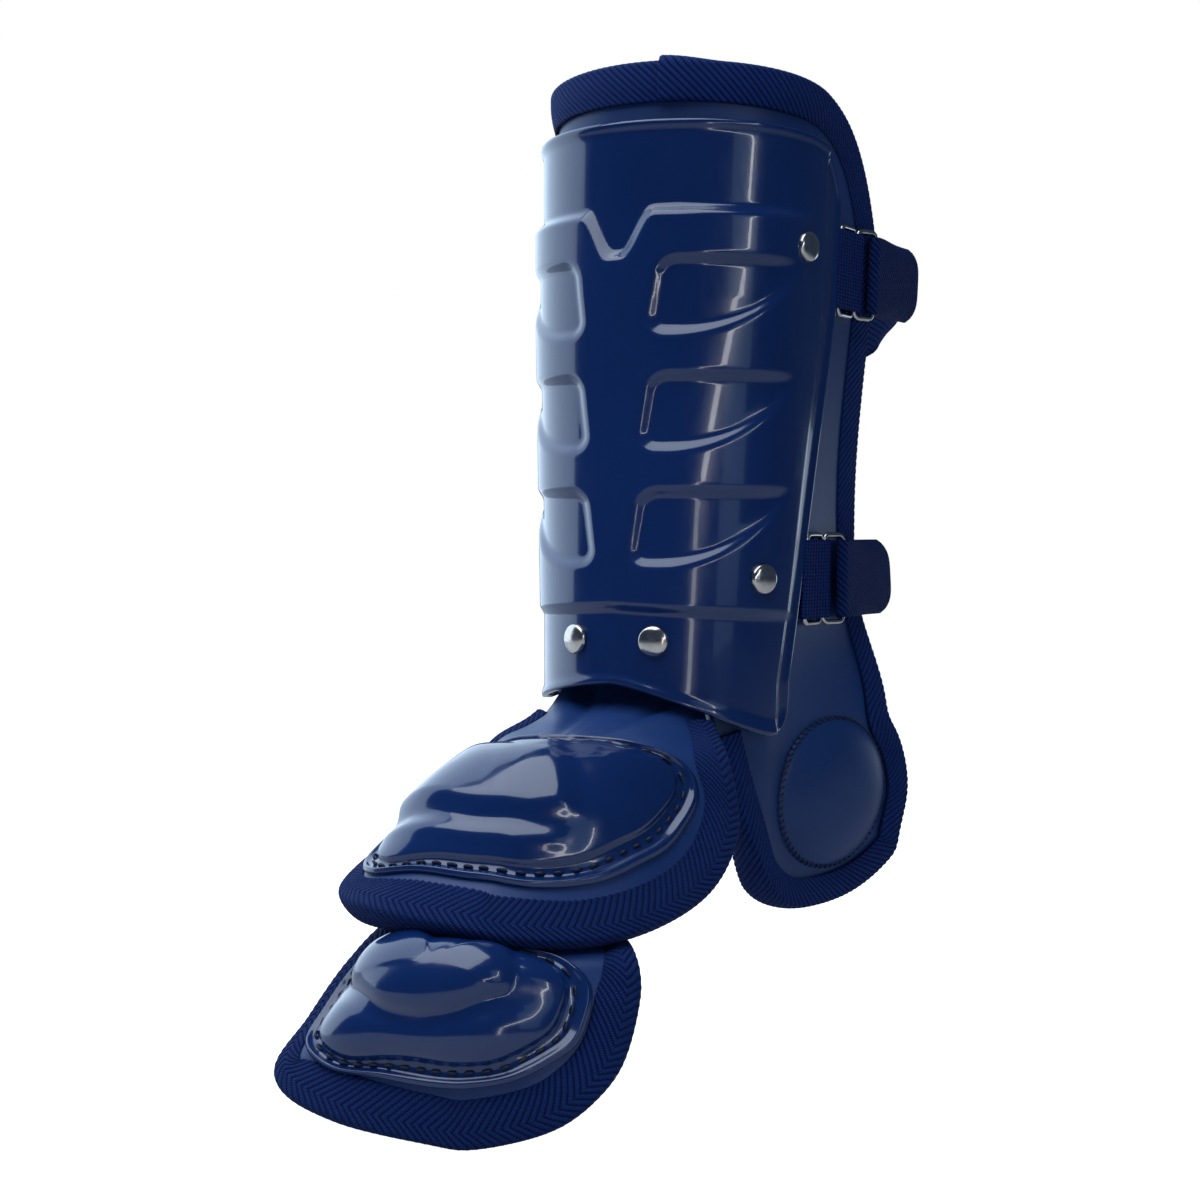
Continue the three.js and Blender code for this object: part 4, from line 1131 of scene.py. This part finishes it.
toe_shell_outline = [
    (0, 0.73), (0.25, 0.67), (0.52, 0.52), (0.7, 0.26), (0.76, -0.02), (0.74, -0.3),
    (0.54, -0.4), (0.2, -0.4), (-0.2, -0.4), (-0.55, -0.4), (-0.84, -0.3), (-0.98, 0.02),
    (-1.02, 0.36), (-0.97, 0.64), (-0.72, 0.78), (-0.36, 0.76)]
knob_across, knob_forward, knob_wide, knob_long, knob_rise = -10, -3, 31, 17, 7.5
toe_tucks = {name: instep.place(side * toe_tuck_half, toe_tuck_forward,
                                -flap_thickness - toe_tuck_gap)
             for name, side in (("near", 1.0), ("middle", 0.0), ("far", -1.0))}
toe = Flap(toe_middle, toe_height, toe_slope, toe_half, toe_forward, toe_drop,
           toe_outline, toe_profile, toe_tucks)


def toe_relief(w, f, inset):
    """A round knob on the lower tier, with a groove round its front and near sides."""
    inside = smooth((inset - mix(-1.5, 6, smooth((f + 4) / 10))) / 3.5)
    reach = np.hypot((w - knob_across) / knob_wide, (f + 0.08 * w - knob_forward) / knob_long)
    level = np.maximum(1 - np.minimum(reach, 1) ** 2, 0)
    knob = np.sqrt(level) * (1 - np.exp(-level / 0.15))
    front = smooth((f - knob_forward + 6) / 8)
    return inside * (knob_rise * knob - 0.8 * front * ridge(reach - 1.12, 0.16))


flap_pad("toe_pad_facing", toe, 1.4, "toe_pad")
flap_tape("toe_binding_tape", toe, -0.3, 0.41, "toe_binding")
toe_line, toe_centre = flap_shell(
    "toe_shell_dome", toe.eased(), toe_shell_outline, toe_half * toe_shell_share,
    toe_forward * toe_shell_share, (-0.12, 0.12), toe_dome, 3.4, toe_relief, "toe_shell")
channel_stitches("toe_shell_stitches", toe.eased(), toe_line, toe_centre)


# Keepers and rings. Ribbed webbing sewn under the shell's flange folds round two nickel wire
# rectangles, one lying on it and one at its end for the strap.
web_width, web_thickness, wire = 32, 1.3, 2.2
ring_height, ring_width, ring_rise, keeper_length = 36, 10, 4, 28
strap_places = {"upper": (313, 45.1, 104), "lower": (186, 56.7, 68)}
loop_corner, tail_length, fabric_gap, strap_sag, strap_curl = 24, 44, 0.35, 14, 5.5
web_rows, wire_around, rib_spacing = 21, 14, 2.6
web_lay = wire / 2 + fabric_gap + web_thickness / 2
bar_lift = fabric_gap + web_thickness + fabric_gap + wire / 2


def pad_reach(z):
    """How far round from the front the pad's edge lies at a height, found by halving steps."""
    share, step = 0.0, 0.5
    while step > 0.001:
        side = share + step
        if pad_rim(side) > z:
            share = side
        step /= 2
    return share * float(pad_edge(z))


def turn_round(side, lift, radius, start, stop):
    angle = np.radians(np.linspace(start, stop, 13))
    return np.column_stack([side + radius * np.sin(angle), lift - radius * np.cos(angle)])


def run_of(first, last, count=8):
    share = np.linspace(0, 1, count)[:, None]
    return np.array(first, float) * (1 - share) + np.array(last, float) * share


def webbing(name, line_at, height, material, rib, sag, node):
    """A woven band of even thickness along a line seen from above, ribbed if asked."""
    low, high = height - web_width / 2, height + web_width / 2
    levels = np.linspace(low, high, web_rows)
    lines = [even_line(line_at(level), 0.45, soften=0.8) for level in (low, high)]
    count = min(len(lines[0]), len(lines[1]))
    ends = [np.column_stack([np.interp(np.linspace(0, 1, count), np.linspace(0, 1, len(line)),
                                       line[:, i]) for i in (0, 1)]) for line in lines]
    run = run_along(ends[0])
    sides = []
    for side in (1, -1):
        sheet = []
        for level in levels:
            line = mix(ends[0], ends[1], (level - low) / (high - low))
            tangent = unit(np.gradient(line, axis=0))
            to_edge = min(level - low, high - level)
            half = web_thickness / 2 * (0.55 + 0.45 * float(smooth(to_edge / 1.2)))
            half = half + rib(run, level) if rib else np.full(len(run), half)
            place = line + side * half[:, None] * np.column_stack([tangent[:, 1], -tangent[:, 0]])
            behind = smooth((60 - np.abs(line[:, 0])) / 34) * (line[:, 1] > 0)
            bend_from = line[:, 1].max() * 0.4
            bend = smooth((np.abs(line[:, 0]) - 36) / 12)
            bend = bend * smooth((line[:, 1] - bend_from) / bend_from)
            curl = bool(sag) * strap_curl * abs(2 * (level - height) / web_width) ** 4 * bend
            place = place - (curl / np.linalg.norm(line, axis=1))[:, None] * line
            sheet.append(np.column_stack([place, level - sag * behind]))
        sides.append((np.array(sheet) - (0, 0, mount_height)) / 1000)
    across = levels[:, None] - height
    lay = np.stack(np.broadcast_arrays(run, across, 0.0), -1) / 1000
    fit(plate(name, sides[0], sides[1], material, lay), "webbing", node)


def webbing_ribs(run, level):
    return 0.28 * np.abs(np.sin(math.pi * run / rib_spacing)) ** 0.8


def ribbed_webbing():
    """Heavy ribs across the webbing, each a column of small knots, with the colour painted darker
    between ribs and knots as shade.
    """
    material, tree, shader = new_material("ribbed_webbing")
    lay = value_node(tree, "ShaderNodeAttribute", "lay", attribute_name="lay").outputs["Vector"]
    parts = value_node(tree, "ShaderNodeSeparateXYZ", "parts", {0: lay})
    column, knot = (
        maths(tree, "ABSOLUTE", maths(tree, "SINE", maths(
            tree, "MULTIPLY", parts.outputs[way], math.pi / pitch)))
        for way, pitch in (("X", rib_spacing / 1000), ("Y", 0.0014)))
    height = maths(tree, "MULTIPLY", maths(tree, "POWER", column, 0.6), maths(
        tree, "ADD", maths(tree, "MULTIPLY", knot, 0.6), 0.4))
    # Painted shade: the colour is dark between the ribs and knots and lighter on their tops.
    colour = colour_ramp(tree, "yarn_with_painted_shade", height,
                         (0.0003, 0.0026, 0.024), (0.0045, 0.026, 0.170))
    tree.links.new(colour, shader.inputs["Base Color"])
    bump(tree, shader, height, 0.9, 0.0007)
    shader.inputs["Roughness"].default_value = 0.7
    shader.inputs["Specular IOR Level"].default_value = 0.12
    return material


keeper_webbing = ribbed_webbing()
# The strap's dark colour end is painted shade for the grooves between its cords.
strap_twill = woven("strap_twill", (0.0003, 0.0030, 0.028), (0.0040, 0.028, 0.165),
                    (2.4, 400, 1.0), 0.9, 0.0009)


def flat_line(points, level):
    """Points s round the shin and t off the pad, as seen from above in millimetres."""
    points = np.asarray(points, float)
    return wrap(points[:, 0], level, points[:, 1])[:, :2] * 1000


def wire_ring(name, height, near, far, climb, node):
    """A rounded rectangle of nickel wire lying on the webbing."""
    tall, corner = ring_height / 2, 2.2
    path = []
    for s, dz, start in ((far, tall, 0), (near, tall, 90), (near, -tall, 180), (far, -tall, 270)):
        cs = s - math.copysign(corner, s - (near + far) / 2)
        cz = dz - math.copysign(corner, dz)
        for angle in np.radians(np.linspace(start, start + 90, 7)):
            path.append((cs + corner * math.cos(angle), cz + corner * math.sin(angle)))
    line = even_line(path, 1.2, closed=True)[:-1]
    lifts = bar_lift + climb * (line[:, 0] - near) / (far - near)
    middle = wrap(line[:, 0], height + line[:, 1], lifts)
    before, after = np.roll(middle, 1, 0), np.roll(middle, -1, 0)
    tangent = unit(after - before)
    out = unit(wrap(line[:, 0], height + line[:, 1], lifts + 1) - middle)
    side = unit(np.cross(tangent, out))
    out = np.cross(side, tangent)
    angles = np.linspace(0, 2 * math.pi, wire_around, endpoint=False)
    points = np.vstack([middle[k] + wire / 2000 * (np.cos(angles)[:, None] * side[k]
                                                   + np.sin(angles)[:, None] * out[k])
                        for k in range(len(middle))])
    faces = []
    for k in range(len(middle)):
        a, b = k * wire_around, (k + 1) % len(middle) * wire_around
        faces += [(a + j, a + (j + 1) % wire_around, b + (j + 1) % wire_around, b + j)
                  for j in range(wire_around)]
    ring = new_mesh(name, points, faces, nickel)
    turn_out(ring)
    fit(ring, "nickel", node)


# Straps. Flat woven elastic: the outer end folds back round the ring's bar on itself, and the
# band runs round the back of the leg and is sewn down on the far side under the shell.
def strap_set(name, height, keeper_in, back):
    """A keeper with its two rings, and the strap that goes from them round the leg."""
    start = pad_reach(height + web_width / 2) - keeper_in
    near = start + keeper_length - web_lay
    far = near + ring_width
    lay_low = fabric_gap + web_thickness / 2
    wire_ring(f"{name}_ring_inner_wire", height, start + 9, near - wire - fabric_gap * 2, 0,
              f"{name}_ring_inner")
    wire_ring(f"{name}_ring_outer_wire", height, near, far, ring_rise, f"{name}_ring_outer")
    webbing(f"{name}_keeper_webbing", lambda level: flat_line(np.vstack([
        run_of((start - 6, lay_low), (near, lay_low)),
        turn_round(near, bar_lift, web_lay, 20, 160),
        run_of((near, bar_lift + web_lay), (start + 3, bar_lift + web_lay))]), level),
        height, keeper_webbing, webbing_ribs, 0, f"{name}_keeper")
    lift = bar_lift + ring_rise
    edge = float(pad_edge(height - web_width / 2)) + 5
    corner_side = wrap(edge, height - web_width / 2, lift - web_lay)[0] * 1000
    bend = np.linspace(0, math.pi / 2, 14)
    loop = np.column_stack([corner_side - loop_corner + loop_corner * np.cos(bend),
                            back - loop_corner + loop_corner * np.sin(bend)])

    def line_at(level):
        tail = []
        for share in np.linspace(1, 0.2, 12):
            s = far + tail_length * share
            x, y = flat_line([(min(s, edge), lift + web_lay)], level)[0]
            tail.append((x, y + max(0, s - edge)))
        bar = flat_line(turn_round(far, lift, web_lay, -160, -20), level)
        inside = flat_line([(mix(far, edge, 0.5), lift - web_lay), (edge, lift - web_lay)], level)
        sewn = flat_line([(-edge, lift - web_lay), (4 - edge + tape_band, lift - web_lay),
                          (12 - edge + tape_band, lay_low), (-start, lay_low),
                          (6 - start, lay_low)], level)
        return np.vstack([tail, bar, inside, loop, (loop * (-1, 1))[::-1], sewn])

    webbing(f"{name}_strap_elastic", line_at, height, strap_twill, None, strap_sag,
            f"{name}_strap")


for label, (height, keeper_in, back) in strap_places.items():
    strap_set(label, height, keeper_in, back)


# Floor. A plain pale floor just under the toe guard's lowest edge. Its glow is seen by the
# camera alone, so it looks as white as the photo's ground and doesn't light the guard.
floor_size, floor_gap = 8, 0.001
corner = floor_size / 2
floor_level = cad_box[0][2] - floor_gap
floor_mesh = bpy.data.meshes.new("floor")
floor_mesh.from_pydata([(-corner, -corner, floor_level), (corner, -corner, floor_level),
                        (corner, corner, floor_level), (-corner, corner, floor_level)],
                       [], [(0, 1, 2, 3)])
floor = bpy.data.objects.new("floor", floor_mesh)
bpy.context.scene.collection.objects.link(floor)
pale_floor, floor_tree, floor_shader = new_material("pale_floor")
floor_place = value_node(floor_tree, "ShaderNodeTexCoord", "place").outputs["Object"]
floor_cloud = value_node(floor_tree, "ShaderNodeTexNoise", "cloud", {
    "Vector": floor_place, "Scale": 3.0, "Detail": 2.0}).outputs["Fac"]
floor_colour = colour_ramp(floor_tree, "paper", floor_cloud, (0.55, 0.56, 0.58), (0.58, 0.59, 0.61))
floor_tree.links.new(floor_colour, floor_shader.inputs["Base Color"])
floor_shader.inputs["Roughness"].default_value = 0.7
floor_shader.inputs["Emission Color"].default_value = (1, 1, 1, 1)
floor_seen = value_node(floor_tree, "ShaderNodeLightPath", "seen").outputs["Is Camera Ray"]
floor_tree.links.new(floor_seen, floor_shader.inputs["Emission Strength"])
floor_mesh.materials.append(pale_floor)


# Light. A broad cool panel on the left, a softbox overhead, a low panel behind, a side fill
# and three narrow strips on the right, in a dim blue room that the camera sees as white.
def area_light(name, width, tall, radiance):
    lamp = bpy.data.lights.new(name, "AREA")
    lamp.shape = "RECTANGLE"
    lamp.size, lamp.size_y = width, tall
    lamp.energy = radiance * width * tall * math.pi
    holder = bpy.data.objects.new(name, lamp)
    bpy.context.scene.collection.objects.link(holder)
    return holder


def panel(name, around, height, distance, width, tall, radiance, tint):
    """A panel of light facing the guard; around is its angle from the front, in degrees."""
    angle = math.radians(around)
    spot = np.array([math.sin(angle) * distance, -math.cos(angle) * distance, height])
    holder = area_light(name, width, tall, radiance)
    holder.data.color = tint
    holder.location = spot
    aim = np.array([0, -0.04, 0]) - spot
    holder.rotation_euler = Vector(aim).to_track_quat("-Z", "Y").to_euler()


panel("left_panel", -100, 0.45, 1.15, 1.9, 1.7, 1.6, (0.66, 0.83, 1.0))
panel("top_box", -14, 1.2, 0.55, 1.5, 1.3, 3.0, (0.8, 0.9, 1.0))
panel("back_panel", 168, -0.06, 1.3, 0.8, 0.26, 1.3, (0.7, 0.85, 1.0))


def strip(name, top, foot, width, radiance):
    """A narrow light from one point to another, facing the guard; points are in metres."""
    top, foot = Vector(top), Vector(foot)
    middle = (top + foot) / 2
    away = middle.normalized()
    along = (top - foot).normalized()
    across = along.cross(away).normalized()
    away = across.cross(along)
    turned = Matrix((across, along, away)).transposed().to_4x4()
    holder = area_light(name, width, (top - foot).length, radiance)
    holder.matrix_world = Matrix.Translation(middle) @ turned


panel("side_fill", 66, 0.3, 1.25, 0.4, 0.8, 0.5, (0.5, 0.75, 1.0))
strip("right_strip", (1.16, -0.30, 0.55), (1.12, -0.44, 0.27), 0.035, 9.0)
strip("middle_strip", (1.12, -0.44, 0.27), (0.80, -0.90, 0.06), 0.035, 8.0)
strip("front_strip", (0.78, -0.93, 0.06), (0.70, -0.98, -0.45), 0.07, 3.6)
room = bpy.data.worlds.new("room")
room.use_nodes = True
room_tree = room.node_tree
room_tree.nodes["Background"].inputs["Color"].default_value = (0.35, 0.55, 1.0, 1)
room_tree.nodes["Background"].inputs["Strength"].default_value = 0.08
paper = value_node(room_tree, "ShaderNodeBackground", "paper",
                   {"Color": (1.0, 1.0, 1.0, 1), "Strength": 1.0})
seen = value_node(room_tree, "ShaderNodeLightPath", "seen")
blend = room_tree.nodes.new("ShaderNodeMixShader")
room_tree.links.new(seen.outputs["Is Camera Ray"], blend.inputs[0])
room_tree.links.new(room_tree.nodes["Background"].outputs[0], blend.inputs[1])
room_tree.links.new(paper.outputs[0], blend.inputs[2])
room_tree.links.new(blend.outputs[0], room_tree.nodes["World Output"].inputs["Surface"])
bpy.context.scene.world = room
